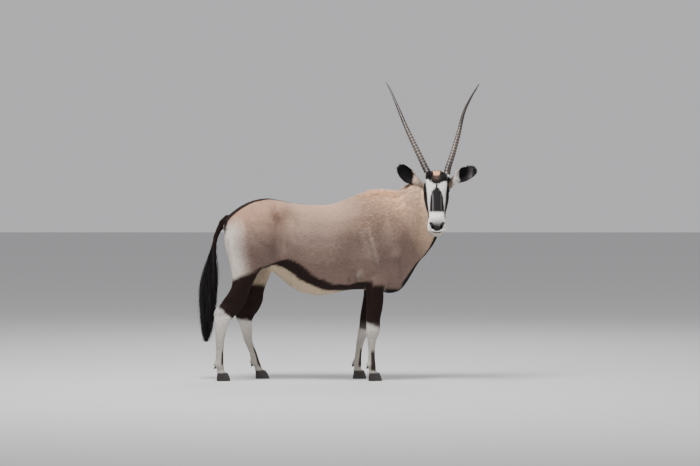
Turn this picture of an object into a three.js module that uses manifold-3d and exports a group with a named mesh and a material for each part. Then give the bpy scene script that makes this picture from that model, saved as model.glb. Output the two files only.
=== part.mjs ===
import * as THREE from "three";
import { mergeVertices } from "three/addons/utils/BufferGeometryUtils.js";
import Module from "manifold-3d";

// A gemsbok standing still, life size, in millimetres. +Z is up, the body faces +X, its right
// side is -Y, and the head is turned to the right, so that the face looks along -Y.

// Driving dimensions
const GAP = 0.3;
const WITHERS_HEIGHT = 1199;
const CROUP_HEIGHT = 1149;
const BACK_HEIGHT = 1112;
const BELLY_HEIGHT = 527;
const BRISKET_HEIGHT = 539;
const BARREL_HALF_WIDTH = 232;
const FORE_TRACK = 108;
const HIND_TRACK = 118;
const KNEE_HEIGHT = 322;
const HOCK_HEIGHT = 400;
const FETLOCK_HEIGHT = 92;
const CORONET_HEIGHT = 50;
const EYE_RADIUS = 20;
const HORN_BASE_RADIUS = 21;
const HORN_RINGS = 18;
const FACE_SLANT = THREE.MathUtils.degToRad(32);
const FOREHEAD = new THREE.Vector3(760, -130, 1290);

const BODY_SEGMENTS = 22;
const LEG_SEGMENTS = 12;
const HEAD_SEGMENTS = 26;

const wasm = await Module();
wasm.setup();

// Numbers and shapes
const lerp = THREE.MathUtils.lerp;
const smooth = THREE.MathUtils.smoothstep;

function seededRandom(seed) {
  let state = seed;
  return () => {
    state = (state * 1664525 + 1013904223) % 4294967296;
    return state / 4294967296;
  };
}

// A smooth curve through rows of numbers, at place t from 0 to 1.
function rowAt(rows, t) {
  const place = Math.min(Math.max(t, 0), 1) * (rows.length - 1);
  const first = Math.min(Math.floor(place), rows.length - 2);
  const u = place - first;
  const before = rows[Math.max(first - 1, 0)];
  const start = rows[first];
  const end = rows[first + 1];
  const after = rows[Math.min(first + 2, rows.length - 1)];
  return start.map((value, i) => {
    const slopeIn = (end[i] - before[i]) / 2;
    const slopeOut = (after[i] - value) / 2;
    const rise = end[i] - value;
    return value + slopeIn * u + (3 * rise - 2 * slopeIn - slopeOut) * u * u
      + (slopeIn + slopeOut - 2 * rise) * u * u * u;
  });
}

// A closed surface over rings of points, with a fan over the first and the last ring.
function skinOver(rings) {
  const count = rings[0].length;
  const positions = [];
  const index = [];
  for (const ring of rings) {
    for (const point of ring) positions.push(point.x, point.y, point.z);
  }
  for (let row = 0; row + 1 < rings.length; row += 1) {
    for (let i = 0; i < count; i += 1) {
      const a = row * count + i;
      const b = row * count + (i + 1) % count;
      index.push(a, b, a + count, b, b + count, a + count);
    }
  }
  const ends = [
    [rings[0], 0, true],
    [rings.at(-1), (rings.length - 1) * count, false],
  ];
  for (const [ring, start, turned] of ends) {
    const middle = new THREE.Vector3();
    ring.forEach((point) => middle.add(point));
    middle.divideScalar(count);
    const centre = positions.length / 3;
    positions.push(middle.x, middle.y, middle.z);
    for (let i = 0; i < count; i += 1) {
      const a = start + i;
      const b = start + (i + 1) % count;
      if (turned) index.push(b, a, centre);
      else index.push(a, b, centre);
    }
  }
  const geometry = new THREE.BufferGeometry();
  geometry.setAttribute("position", new THREE.Float32BufferAttribute(positions, 3));
  geometry.setIndex(index);
  return geometry;
}

// Solids: a closed surface becomes a solid with its faces turned out.
function solidOf(geometry) {
  const bare = geometry.clone();
  bare.deleteAttribute("normal");
  bare.deleteAttribute("uv");
  const merged = mergeVertices(bare, 1e-4);
  const points = merged.getAttribute("position").array;
  const triangles = Uint32Array.from(merged.index.array);
  let volume = 0;
  for (let i = 0; i < triangles.length; i += 3) {
    const [a, b, c] = [0, 1, 2].map((k) => new THREE.Vector3().fromArray(points, triangles[i + k] * 3));
    volume += a.dot(b.cross(c));
  }
  if (volume < 0) triangles.reverse();
  const mesh = new wasm.Mesh({ numProp: 3, vertProperties: Float32Array.from(points), triVerts: triangles });
  return new wasm.Manifold(mesh);
}

function geometryOf(solid) {
  const mesh = solid.getMesh();
  const geometry = new THREE.BufferGeometry();
  geometry.setAttribute("position", new THREE.Float32BufferAttribute(mesh.vertProperties, 3));
  geometry.setIndex(new THREE.Uint32BufferAttribute(mesh.triVerts, 1));
  return geometry;
}

// The largest closed surface of a solid, without loose scraps and sealed hollows.
function largest(solid) {
  const pieces = solid.decompose();
  pieces.sort((a, b) => b.volume() - a.volume());
  return pieces[0];
}

// The same solid with every point moved out along its normal.
function grown(solid, distance) {
  const geometry = geometryOf(solid);
  geometry.computeVertexNormals();
  const place = geometry.getAttribute("position");
  const normal = geometry.getAttribute("normal");
  for (let i = 0; i < place.count; i += 1) {
    place.setXYZ(i, place.getX(i) + normal.getX(i) * distance, place.getY(i) + normal.getY(i) * distance,
      place.getZ(i) + normal.getZ(i) * distance);
  }
  return solidOf(geometry);
}

function ellipsoid(centre, semiAxes, basis = new THREE.Matrix4(), detail = 12) {
  const geometry = new THREE.SphereGeometry(1, detail * 2, detail);
  geometry.scale(...semiAxes);
  geometry.applyMatrix4(basis);
  geometry.translate(centre.x, centre.y, centre.z);
  return solidOf(geometry);
}

// An egg-shaped ring: half widths to the side, up and down of its widest level, and how square
// each of its two halves is.
function eggRing(middle, across, upward, side, up, down, squareUp, squareDown, count) {
  const ring = [];
  for (let i = 0; i < count; i += 1) {
    const angle = (i / count) * Math.PI * 2;
    const c = Math.cos(angle);
    const s = Math.sin(angle);
    const power = 2 / (c > 0 ? squareUp : squareDown);
    const height = Math.sign(c) * Math.abs(c) ** power * (c > 0 ? up : down);
    const width = Math.sign(s) * Math.abs(s) ** power * side;
    ring.push(middle.clone().addScaledVector(across, width).addScaledVector(upward, height));
  }
  return ring;
}

// Soft swellings and hollows over bone and muscle, as pushes away from the middle of a ring.
function swell(point, middle, lumps) {
  const outward = point.clone().sub(middle).normalize();
  let push = 0;
  for (const [x, y, z, reachX, reachY, reachZ, height] of lumps) {
    const away = new THREE.Vector3((point.x - x) / reachX, (point.y - y) / reachY, (point.z - z) / reachZ);
    push += height * Math.exp(-away.lengthSq());
  }
  return point.clone().addScaledVector(outward, push);
}

// Body: one form from the rump through barrel and chest into the neck. Each row is the top
// point, the low point, the half width, the level of the widest place as a share of the height,
// the squareness above and below it, and how far the section is turned to the right in degrees.
const bodyRows = [
  [-573, 0, 972, -577, 0, 885, 28, 0.5, 2.0, 2.0, 0],
  [-560, 0, 1020, -566, 0, 815, 78, 0.5, 2.0, 2.0, 0],
  [-520, 0, 1062, -526, 0, 742, 122, 0.5, 2.0, 2.0, 0],
  [-462, 0, 1103, -462, 0, 712, 166, 0.48, 2.0, 2.1, 0],
  [-385, 0, 1136, -385, 0, 704, 188, 0.47, 1.95, 2.2, 0],
  [-295, 0, CROUP_HEIGHT, -290, 0, 690, 198, 0.46, 1.9, 2.2, 0],
  [-205, 0, 1133, -205, 0, 622, 204, 0.46, 1.95, 2.2, 0],
  [-115, 0, 1118, -115, 0, 556, 218, 0.45, 2.0, 2.2, 0],
  [0, 0, BACK_HEIGHT, 0, 0, BELLY_HEIGHT, BARREL_HALF_WIDTH, 0.44, 2.0, 2.15, 0],
  [100, 0, 1114, 100, 0, 533, BARREL_HALF_WIDTH, 0.43, 1.95, 2.1, 0],
  [200, 0, 1148, 200, 0, 558, 222, 0.42, 1.8, 2.1, 0],
  [295, 0, 1180, 300, 0, 562, 207, 0.4, 1.65, 2.1, 0],
  [385, 0, WITHERS_HEIGHT, 400, 0, 550, 190, 0.4, 1.6, 2.1, 0],
  [455, 0, 1197, 482, 0, BRISKET_HEIGHT, 172, 0.42, 1.65, 2.0, 0],
  [512, 0, 1192, 548, 0, 566, 150, 0.44, 1.75, 1.9, 0],
  [556, -8, 1210, 600, 0, 636, 126, 0.46, 1.8, 1.9, 0],
  [598, -22, 1235, 655, -14, 730, 109, 0.48, 1.85, 1.9, 10],
  [640, -28, 1243, 706, -32, 790, 97, 0.5, 1.9, 1.95, 24],
  [680, -30, 1257, 748, -50, 862, 88, 0.5, 1.95, 2.0, 40],
  [715, -32, 1274, 772, -62, 950, 77, 0.5, 2.0, 2.0, 56],
  [744, -40, 1290, 787, -74, 1030, 60, 0.5, 2.0, 2.0, 68],
];
const NECK_BASE = 14.4 / (bodyRows.length - 1);

// Muscles and bones that show on both flanks: x, y, z, reach along x, y and z, and height.
const bodyLumps = [];
for (const side of [-1, 1]) {
  bodyLumps.push(
    [455, 175 * side, 760, 95, 90, 120, 22],
    [345, 120 * side, 1060, 70, 90, 150, 12],
    [330, 190 * side, 700, 90, 80, 110, 14],
    [-235, 150 * side, 1060, 42, 70, 55, 14],
    [-175, 190 * side, 985, 60, 80, 80, -20],
    [-380, 170 * side, 930, 120, 90, 130, 14],
    [-530, 90 * side, 1000, 40, 60, 50, 10],
    [240, 220 * side, 800, 40, 70, 160, -8],
  );
}
bodyLumps.push([-20, 0, 1112, 170, 40, 40, -5]);

function bodyRing(t, grow = 0) {
  const [topX, topY, topZ, lowX, lowY, lowZ, half, level, squareUp, squareDown, turn] = rowAt(bodyRows, t);
  const top = new THREE.Vector3(topX, topY, topZ);
  const low = new THREE.Vector3(lowX, lowY, lowZ);
  const upward = top.clone().sub(low).normalize();
  const height = top.distanceTo(low);
  const yaw = THREE.MathUtils.degToRad(turn);
  const across = new THREE.Vector3(Math.sin(yaw), Math.cos(yaw), 0);
  across.addScaledVector(upward, -across.dot(upward)).normalize();
  const middle = low.clone().addScaledVector(upward, height * level);
  const up = height * (1 - level) + grow;
  const down = height * level + grow;
  const ring = eggRing(middle, across, upward, half + grow, up, down, squareUp, squareDown, BODY_SEGMENTS);
  return ring.map((point) => swell(point, middle, bodyLumps));
}

function bodySolid(from, to, steps) {
  const rings = [];
  for (let i = 0; i <= steps; i += 1) rings.push(bodyRing(lerp(from, to, i / steps)));
  return solidOf(skinOver(rings));
}

// Legs: each row is the height, the front and the rear edge, the distance from the middle line,
// the half width across and the squareness. Heights fall from the body to the coronet.
const hindThigh = [
  [1035, -356, -470, 96, 40, 2.0],
  [985, -285, -530, 97, 74, 2.0],
  [900, -222, -566, 108, 92, 2.1],
  [820, -226, -560, 116, 86, 2.1],
  [750, -268, -543, 121, 76, 2.1],
  [690, -340, -530, 124, 66, 2.1],
  [628, -371, -521, 124, 57, 2.1],
  [565, -406, -538, 122, 48, 2.1],
  [500, -425, -588, 119, 38, 2.1],
  [440, -463, -630, HIND_TRACK, 32, 2.2],
  [HOCK_HEIGHT, -505, -634, HIND_TRACK, 31, 2.3],
];
const hindCannon = [
  [HOCK_HEIGHT, -505, -634, HIND_TRACK, 31, 2.3],
  [366, -534, -632, HIND_TRACK, 30, 2.3],
  [325, -548, -628, HIND_TRACK, 26, 2.3],
  [240, -566, -623, HIND_TRACK, 22, 2.2],
  [160, -570, -622, HIND_TRACK, 22, 2.2],
  [FETLOCK_HEIGHT + 20, -570, -628, HIND_TRACK, 26, 2.2],
  [FETLOCK_HEIGHT, -567, -630, HIND_TRACK, 29, 2.2],
  [68, -562, -618, HIND_TRACK, 28, 2.2],
  [CORONET_HEIGHT, -548, -618, HIND_TRACK, 33, 2.4],
];
const foreArm = [
  [700, 452, 330, 128, 52, 2.1],
  [640, 448, 312, 128, 56, 2.1],
  [580, 436, 312, 122, 54, 2.1],
  [520, 436, 318, 116, 48, 2.1],
  [450, 428, 318, 112, 42, 2.1],
  [390, 415, 316, FORE_TRACK, 37, 2.2],
  [350, 410, 316, FORE_TRACK, 36, 2.3],
  [KNEE_HEIGHT, 408, 317, FORE_TRACK, 36, 2.3],
];
const foreCannon = [
  [KNEE_HEIGHT, 408, 317, FORE_TRACK, 36, 2.3],
  [288, 403, 318, FORE_TRACK, 33, 2.3],
  [255, 386, 324, FORE_TRACK, 26, 2.3],
  [200, 379, 332, FORE_TRACK, 22, 2.2],
  [140, 379, 332, FORE_TRACK, 22, 2.2],
  [FETLOCK_HEIGHT + 20, 382, 328, FORE_TRACK, 26, 2.2],
  [FETLOCK_HEIGHT, 384, 325, FORE_TRACK, 29, 2.2],
  [68, 388, 334, FORE_TRACK, 28, 2.2],
  [CORONET_HEIGHT, 402, 332, FORE_TRACK, 33, 2.4],
];

// Where each leg stands: how far it is moved along x at a height, and its side of the body.
function shiftBetween(pairs) {
  return (height) => {
    let i = 0;
    while (i + 2 < pairs.length && height < pairs[i + 1][0]) i += 1;
    const [highZ, highX] = pairs[i];
    const [lowZ, lowX] = pairs[i + 1];
    return lerp(lowX, highX, THREE.MathUtils.clamp((height - lowZ) / (highZ - lowZ), 0, 1));
  };
}
const legs = [
  { name: "hind_right", upper: hindThigh, lower: hindCannon, side: -1, shift: () => 0 },
  {
    name: "hind_left", upper: hindThigh, lower: hindCannon, side: 1,
    shift: shiftBetween([[900, 0], [690, 76], [520, 96], [HOCK_HEIGHT, 126], [325, 152], [240, 170],
      [150, 208], [60, 232], [0, 240]]),
  },
  { name: "fore_right", upper: foreArm, lower: foreCannon, side: -1, shift: () => 0 },
  {
    name: "fore_left", upper: foreArm, lower: foreCannon, side: 1,
    shift: shiftBetween([[700, -6], [560, -12], [430, -34], [KNEE_HEIGHT, -44], [250, -66], [190, -79],
      [60, -94], [0, -98]]),
  },
];

function legRing(leg, rows, t, grow = 0) {
  const [z, front, rear, out, half, square] = rowAt(rows, t);
  const shift = leg.shift(z);
  const middle = new THREE.Vector3((front + rear) / 2 + shift, out * leg.side, z);
  const length = (front - rear) / 2 + grow;
  return eggRing(middle, new THREE.Vector3(0, 1, 0), new THREE.Vector3(1, 0, 0), half + grow, length, length,
    square, square, LEG_SEGMENTS);
}

function legSolid(leg, rows, steps, grow = 0) {
  const rings = [];
  for (let i = 0; i <= steps; i += 1) rings.push(legRing(leg, rows, i / steps, grow));
  return solidOf(skinOver(rings));
}

// One claw of a cloven hoof, pointed in front, with a flat sole at the floor.
function clawSolid(leg, inner) {
  const lower = leg.lower;
  const [, front, rear, out] = lower.at(-1);
  const heel = rear + leg.shift(0) + 2;
  const coronetShift = leg.shift(CORONET_HEIGHT) - leg.shift(0);
  const middleY = leg.side * (out + (inner ? -18 : 18));
  const levels = [[0, 88, 1, 0], [10, 87, 1, 0], [30, 78, 0.95, 2], [CORONET_HEIGHT - GAP, 66, 0.9, 5]];
  const rings = levels.map(([z, length, wide, setBack]) => {
    const ring = [];
    const count = 12;
    for (let i = 0; i < count; i += 1) {
      const angle = (i / count) * Math.PI * 2;
      const along = (1 + Math.cos(angle)) / 2;
      const taper = 1 - 0.55 * along ** 2.2;
      const x = heel + coronetShift * (z / CORONET_HEIGHT) + setBack + along * length;
      ring.push(new THREE.Vector3(x, middleY + Math.sin(angle) * 17 * wide * taper, z));
    }
    return ring;
  });
  return solidOf(skinOver(rings));
}

// Head. Its own axes are across (to its left), along (down the face to the nose) and out of the
// face, from the forehead between the horns.
const across = new THREE.Vector3(1, 0, 0);
const along = new THREE.Vector3(0, -Math.sin(FACE_SLANT), -Math.cos(FACE_SLANT));
const outOfFace = new THREE.Vector3(0, -Math.cos(FACE_SLANT), Math.sin(FACE_SLANT));
const headBasis = new THREE.Matrix4().makeBasis(across, along, outOfFace);

function onHead(side, down, out) {
  return FOREHEAD.clone().addScaledVector(across, side).addScaledVector(along, down)
    .addScaledVector(outOfFace, out);
}

// Rows: place along the face, nasal line, jaw line, half width, level of the widest place as a
// share of the depth from the jaw, squareness in front and behind.
const headRows = [
  [-64, -50, -104, 34, 0.5, 2.0, 2.0],
  [-52, -24, -132, 54, 0.5, 2.1, 2.0],
  [-30, -8, -154, 66, 0.52, 2.2, 2.0],
  [0, 0, -168, 73, 0.54, 2.3, 2.0],
  [40, 3, -180, 77, 0.56, 2.4, 2.0],
  [85, 3, -190, 79, 0.62, 2.6, 2.0],
  [130, 0, -189, 75, 0.58, 2.5, 2.0],
  [172, -3, -172, 69, 0.54, 2.4, 1.9],
  [214, -5, -146, 64, 0.52, 2.4, 1.9],
  [255, -7, -124, 60, 0.5, 2.4, 1.9],
  [292, -8, -110, 58, 0.5, 2.3, 1.9],
  [330, -9, -104, 58.5, 0.5, 2.2, 1.9],
  [358, -11, -101, 58, 0.54, 2.2, 1.8],
  [380, -19, -97, 51, 0.56, 2.1, 1.75],
  [394, -33, -91, 38, 0.56, 2.0, 1.8],
  [401, -50, -82, 20, 0.54, 2.0, 1.9],
];
const headLumps = [];
for (const side of [-1, 1]) {
  const push = (s, d, o, reach, height) => {
    const place = onHead(s * side, d, o);
    headLumps.push([place.x, place.y, place.z, reach, reach, reach, height]);
  };
  push(76, 52, -26, 26, 6);
  push(74, 112, -30, 20, -4);
  push(80, 110, -110, 40, 5);
  push(62, 175, -30, 34, -4);
  push(50, 245, -62, 30, -4);
  push(36, 356, -20, 20, 6);
  push(46, 352, -54, 18, 5);
  push(38, 372, -88, 16, 3);
}

function headSolid(inset = 0) {
  const rings = [];
  const steps = 30;
  for (let i = 0; i <= steps; i += 1) {
    const [down, front, jaw, half, level, squareFront, squareBack] = rowAt(headRows, i / steps);
    const depth = front - jaw;
    const middle = onHead(0, Math.min(down, headRows.at(-1)[0] - inset), jaw + depth * level);
    const toFront = depth * (1 - level) - inset;
    const toJaw = depth * level - inset;
    const ring = eggRing(middle, across, outOfFace, half - inset, toFront, toJaw, squareFront, squareBack,
      HEAD_SEGMENTS);
    rings.push(ring.map((point) => swell(point, middle, headLumps)));
  }
  return solidOf(skinOver(rings));
}

// Each eye looks to its side and a little forward, and its lids lie along the face.
function eyeFrame(side) {
  const centre = onHead(61.5 * side, 80, -48);
  const outward = new THREE.Vector3(0.9 * side, 0, 0).addScaledVector(outOfFace, 0.42).normalize();
  const lidLine = along.clone().addScaledVector(outward, -along.dot(outward)).normalize();
  const lidUp = outward.clone().cross(lidLine).normalize();
  return { centre, outward, basis: new THREE.Matrix4().makeBasis(lidLine, lidUp, outward) };
}

function eyeball(side, room = 0) {
  const eye = eyeFrame(side);
  return ellipsoid(eye.centre, Array(3).fill(EYE_RADIUS + room), eye.basis, 8);
}

// The head with its lids, nostrils and the line of the mouth.
function finishedHead() {
  let head = headSolid();
  for (const side of [-1, 1]) {
    const eye = eyeFrame(side);
    const opening = eye.centre.clone().addScaledVector(eye.outward, 22);
    head = head.add(ellipsoid(eye.centre, [EYE_RADIUS + 5, EYE_RADIUS + 5, EYE_RADIUS + 4], eye.basis, 8));
    head = head.subtract(ellipsoid(opening, [17, 10.5, 24], eye.basis, 7));
    head = head.subtract(eyeball(side, GAP * 1.5));
    const nostrilBasis = new THREE.Matrix4().makeBasis(
      new THREE.Vector3(0.75 * side, 0, 0).addScaledVector(outOfFace, 0.66).normalize(),
      along,
      new THREE.Vector3(0.66 * side, 0, 0).addScaledVector(outOfFace, -0.75).normalize(),
    );
    head = head.subtract(ellipsoid(onHead(29 * side, 378, -21), [12, 17, 6], nostrilBasis, 5));
  }
  const slot = ellipsoid(onHead(0, 348, -66), [74, 72, 3.2], headBasis, 7);
  const shallow = slot.subtract(headSolid(7));
  return largest(head.subtract(shallow));
}

// Ear: a leaf-shaped cup on a round stalk, from its root on the head to its tip.
const EAR_LENGTH = 212;
const EAR_HALF_WIDTH = 46;
function earSolid(side, rootDown, axis) {
  const root = onHead(74 * side, rootDown, -96);
  const length = axis.clone().normalize();
  const facing = new THREE.Vector3(-0.1 * side, -1, 0.05);
  facing.addScaledVector(length, -facing.dot(length)).normalize();
  const wide = facing.clone().cross(length).normalize();
  const steps = 12;
  const arcPoints = 7;
  const rings = [];
  for (let i = 0; i <= steps; i += 1) {
    const t = i / steps;
    const cup = smooth(t, 0.3, 0.5) * (1 - 0.35 * smooth(t, 0.8, 1));
    const leaf = Math.sqrt(Math.max(0, 1 - ((t - 0.66) / 0.36) ** 2));
    const stalk = lerp(25, EAR_HALF_WIDTH, smooth(t, 0.2, 0.62));
    const width = t > 0.62 ? Math.max(EAR_HALF_WIDTH * leaf ** 0.8, 5) : stalk;
    const depth = width * lerp(0.95, 0.62, smooth(t, 0.3, 0.9));
    const wall = Math.min(7, width * 0.4);
    const middle = root.clone().addScaledVector(length, EAR_LENGTH * t - 10);
    middle.addScaledVector(wide, 10 * Math.sin(t * Math.PI));
    const ring = [];
    const reach = Math.PI * 0.56;
    for (let k = 0; k <= arcPoints; k += 1) {
      const angle = lerp(-reach, reach, k / arcPoints);
      ring.push(middle.clone().addScaledVector(wide, Math.sin(angle) * width)
        .addScaledVector(facing, -Math.cos(angle) * depth));
    }
    for (let k = arcPoints; k >= 0; k -= 1) {
      const angle = lerp(-reach * 0.93, reach * 0.93, k / arcPoints);
      const inside = lerp(depth * 0.75, -(depth - wall), cup);
      ring.push(middle.clone().addScaledVector(wide, Math.sin(angle) * (width - wall * 0.8))
        .addScaledVector(facing, Math.cos(angle) * inside + wall * 0.5));
    }
    rings.push(ring);
  }
  return solidOf(skinOver(rings));
}

// Horn: a long tapered sweep, ringed over its lower part, leaning back in line with the face.
const hornPaths = {
  right: [[-46, 0, 0], [-74, 44, 56], [-118, 120, 150], [-179, 228, 281], [-238, 348, 425], [-282, 430, 530],
    [-312, 470, 581]],
  left: [[62, -14, -18], [73, 32, 38], [103, 100, 125], [142, 204, 250], [179, 316, 385], [222, 390, 475],
    [282, 462, 572]],
};
function hornSolid(points) {
  const start = new THREE.Vector3(FOREHEAD.x, FOREHEAD.y + 26, FOREHEAD.z);
  const path = new THREE.CatmullRomCurve3(points.map((offset) => new THREE.Vector3(...offset).add(start)));
  const ringEnd = 0.56;
  const places = [0];
  for (let i = 0; i < HORN_RINGS; i += 1) {
    const t = 0.035 + (ringEnd - 0.035) * (i / HORN_RINGS);
    const gapToNext = (ringEnd - 0.035) / HORN_RINGS;
    places.push(t, t + gapToNext * 0.5);
  }
  for (let i = 0; i <= 9; i += 1) places.push(lerp(ringEnd + 0.02, 0.997, i / 9));
  const sides = 9;
  const rings = places.map((t, row) => {
    const tangent = path.getTangentAt(t);
    const u = new THREE.Vector3(1, 0, 0).addScaledVector(tangent, -tangent.x).normalize();
    const v = tangent.clone().cross(u);
    const onRidge = row > 0 && row <= HORN_RINGS * 2 && row % 2 === 0;
    const ridge = onRidge ? 2.6 * (1 - 0.6 * smooth(t, 0.1, ringEnd)) : 0;
    const radius = (HORN_BASE_RADIUS - 1) * (1 - t) ** 0.72 + 1.6 + ridge;
    const middle = path.getPointAt(t);
    const ring = [];
    for (let k = 0; k < sides; k += 1) {
      const angle = (k / sides) * Math.PI * 2;
      ring.push(middle.clone().addScaledVector(u, Math.cos(angle) * radius)
        .addScaledVector(v, Math.sin(angle) * radius * 1.08));
    }
    return ring;
  });
  return solidOf(skinOver(rings));
}

// Tail: a tapered dock from the croup and the long brush on it. Rows are place along x, height,
// half width along x and half width across.
const dockRows = [
  [-545, 1022, 26, 26],
  [-580, 992, 22, 24],
  [-602, 950, 19, 22],
  [-622, 905, 17, 20],
  [-634, 848, 16, 18],
  [-645, 779, 15, 16],
  [-653, 700, 13, 13],
  [-658, 640, 8, 8],
];
const brushRows = [
  [-628, 870, 16, 17],
  [-640, 810, 24, 22],
  [-646, 760, 31, 27],
  [-655, 691, 42, 34],
  [-664, 622, 50, 40],
  [-671, 553, 50, 40],
  [-675, 490, 46, 37],
  [-677, 430, 40, 32],
  [-680, 370, 34, 27],
  [-682, 310, 27, 21],
  [-684, 262, 17, 13],
  [-686, 232, 4, 4],
];

function tailRing([x, z, halfX, halfY], count = 12) {
  const middle = new THREE.Vector3(x, 0, z);
  const sideways = new THREE.Vector3(0, 1, 0);
  return eggRing(middle, sideways, new THREE.Vector3(1, 0, 0), halfY, halfX, halfX, 2, 2, count);
}

function tailSolid(rows, from, to, steps) {
  const rings = [];
  for (let i = 0; i <= steps; i += 1) rings.push(tailRing(rowAt(rows, lerp(from, to, i / steps))));
  return solidOf(skinOver(rings));
}

// A flat tapered lock through the middle points given, with its width and thickness at each.
function lockSolid(stations) {
  const rings = stations.map(({ middle, wide, thick, width, depth }) => [
    middle.clone().addScaledVector(wide, width / 2),
    middle.clone().addScaledVector(thick, depth / 2),
    middle.clone().addScaledVector(wide, -width / 2),
    middle.clone().addScaledVector(thick, -depth / 2),
  ]);
  return solidOf(skinOver(rings));
}

// The brush: locks that leave the dock at rising places and hang to tips all along its length,
// over a core that ends half way down.
const BRUSH_TIERS = [
  { count: 10, root: 850, tip: 440, cover: 0.92 },
  { count: 8, root: 780, tip: 350, cover: 0.7 },
  { count: 6, root: 725, tip: 290, cover: 0.48 },
  { count: 3, root: 690, tip: 236, cover: 0.26 },
];
function heightPlace(rows, z) {
  let t = 0;
  for (let k = 0; k < 3; k += 1) {
    const step = 0.1 ** (k + 1) / 2;
    while (t + step <= 1 && rowAt(rows, t + step)[1] > z) t += step;
  }
  return t;
}
function brushSolid(dock) {
  const random = seededRandom(41);
  const core = tailSolid(brushRows.map(([x, z, halfX, halfY], i) => {
    const full = 0.42 * (1 - smooth(i, 3, 6)) + 0.14;
    return [x, z, Math.max(halfX * full, 8), Math.max(halfY * full, 8)];
  }), 0.04, 0.5, 6);
  const parts = [dock, core];
  BRUSH_TIERS.forEach(({ count, root, tip, cover }, tier) => {
    const curl = 0.5 - 0.3 * tier;
    for (let i = 0; i < count; i += 1) {
      const angle = ((i + 0.5 * (tier % 2)) / count) * Math.PI * 2;
      const rootZ = root + (random() - 0.5) * 50;
      const tipZ = Math.max(tip + (random() - 0.5) * 90, 232);
      const stations = [];
      const steps = 5;
      for (let k = 0; k <= steps; k += 1) {
        const u = k / steps;
        const z = lerp(rootZ, tipZ, u);
        const [x, , halfX, halfY] = rowAt(brushRows, heightPlace(brushRows, z));
        const turn = angle + curl * u;
        const reach = cover * smooth(u, -0.25, 0.3) * (1 - 0.12 * u);
        const outward = new THREE.Vector3(Math.cos(turn), Math.sin(turn), 0);
        const spacing = (Math.PI * (halfX + halfY) * reach) / count;
        stations.push({
          middle: new THREE.Vector3(x + outward.x * halfX * reach, outward.y * halfY * reach, z),
          wide: new THREE.Vector3(-outward.y, outward.x, 0),
          thick: outward,
          width: k === steps ? 3 : Math.max(spacing * 0.98 * (1 - 0.5 * u ** 3), 8),
          depth: k === steps ? 2 : 11 * (1 - 0.55 * u),
        });
      }
      parts.push(lockSolid(stations));
    }
  });
  return largest(wasm.Manifold.union(parts));
}

// The short mane from the withers to the poll: rows of flat locks that lie back along the crest.
const MANE_START = 10.3 / (bodyRows.length - 1);
const MANE_END = 17.7 / (bodyRows.length - 1);
const MANE_ROWS = 18;
function maneLocks(from, to) {
  const random = seededRandom(7);
  const locks = [];
  for (let i = 0; i < MANE_ROWS; i += 1) {
    const t = lerp(MANE_START, MANE_END, i / (MANE_ROWS - 1));
    const full = smooth(i, -2, 6);
    for (const lane of i % 2 ? [-1, 1] : [0]) {
      const [a, b, c] = [random(), random(), random()];
      if (t < from || t > to) continue;
      const place = t + (lane === 0 ? 0.004 : 0) + (b - 0.5) * 0.004;
      const ring = bodyRing(place);
      const behind = bodyRing(place - 0.045);
      const turn = (BODY_SEGMENTS + lane) % BODY_SEGMENTS;
      const root = lane === 0 ? ring[0].clone() : ring[0].clone().lerp(ring[turn], 0.42);
      const goal = lane === 0 ? behind[0].clone() : behind[0].clone().lerp(behind[turn], 0.5);
      const centre = ring[0].clone().lerp(ring[BODY_SEGMENTS / 2], 0.4);
      const outward = root.clone().sub(centre).normalize();
      const back = goal.sub(root).normalize();
      const wide = back.clone().cross(outward).normalize();
      const lift = (0.2 + 0.5 * a) * full;
      const length = lerp(48, 78, full) * (0.85 + 0.3 * c);
      const stations = [0, 0.35, 0.7, 1].map((u, k) => ({
        middle: root.clone().addScaledVector(back, length * (u - 0.12))
          .addScaledVector(outward, -9 + 13 * full * u + 14 * lift * u * (1 - 0.35 * u)),
        wide,
        thick: outward,
        width: [26, 30, 20, 3][k],
        depth: [10, 9, 6, 1.6][k],
      }));
      locks.push(lockSolid(stations));
    }
  }
  return locks;
}

// Nodes
const gemsbok = new THREE.Group();
const finishes = {
  coat: { color: 0xa9897a, roughness: 0.8, metalness: 0 },
  darkCoat: { color: 0x2a1611, roughness: 0.75, metalness: 0 },
  paleCoat: { color: 0xc8c2bb, roughness: 0.8, metalness: 0 },
  face: { color: 0xf0ede6, roughness: 0.75, metalness: 0 },
  horn: { color: 0x3a3230, roughness: 0.5, metalness: 0 },
  hoof: { color: 0x2b2623, roughness: 0.55, metalness: 0 },
  eye: { color: 0x0d0907, roughness: 0.08, metalness: 0 },
  tail: { color: 0x0d0b10, roughness: 0.6, metalness: 0 },
};

function addNode(name, solid, finish) {
  const mesh = new THREE.Mesh(geometryOf(largest(solid)), new THREE.MeshStandardMaterial(finishes[finish]));
  mesh.name = name;
  gemsbok.add(mesh);
}

// The neck leaves the torso at a plane, and the locks of both end at it.
const neckGap = GAP / 1100;
const seam = bodyRing(NECK_BASE);
const seamLow = seam[BODY_SEGMENTS / 2];
const ahead = seam[0].clone().sub(seamLow).cross(seam[3].clone().sub(seamLow)).normalize();
if (ahead.x < 0) ahead.negate();
const seamPlace = ahead.dot(seamLow);
const behindSeam = (lock) => lock.trimByPlane(ahead.clone().negate().toArray(), GAP - seamPlace);
const aheadOfSeam = (lock) => lock.trimByPlane(ahead.toArray(), GAP + seamPlace);
const torsoLocks = maneLocks(0, NECK_BASE - 0.006).map(behindSeam);
const neckLocks = maneLocks(NECK_BASE + 0.03, 1).map(aheadOfSeam);
let torso = wasm.Manifold.union([bodySolid(0, NECK_BASE - neckGap, 28), ...torsoLocks]);
const bareNeck = bodySolid(NECK_BASE + neckGap, 1, 16);
const head = finishedHead();
const headRoom = grown(head, 0.5);
const besideEars = headRoom.add(grown(bareNeck, 0.5));
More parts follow.
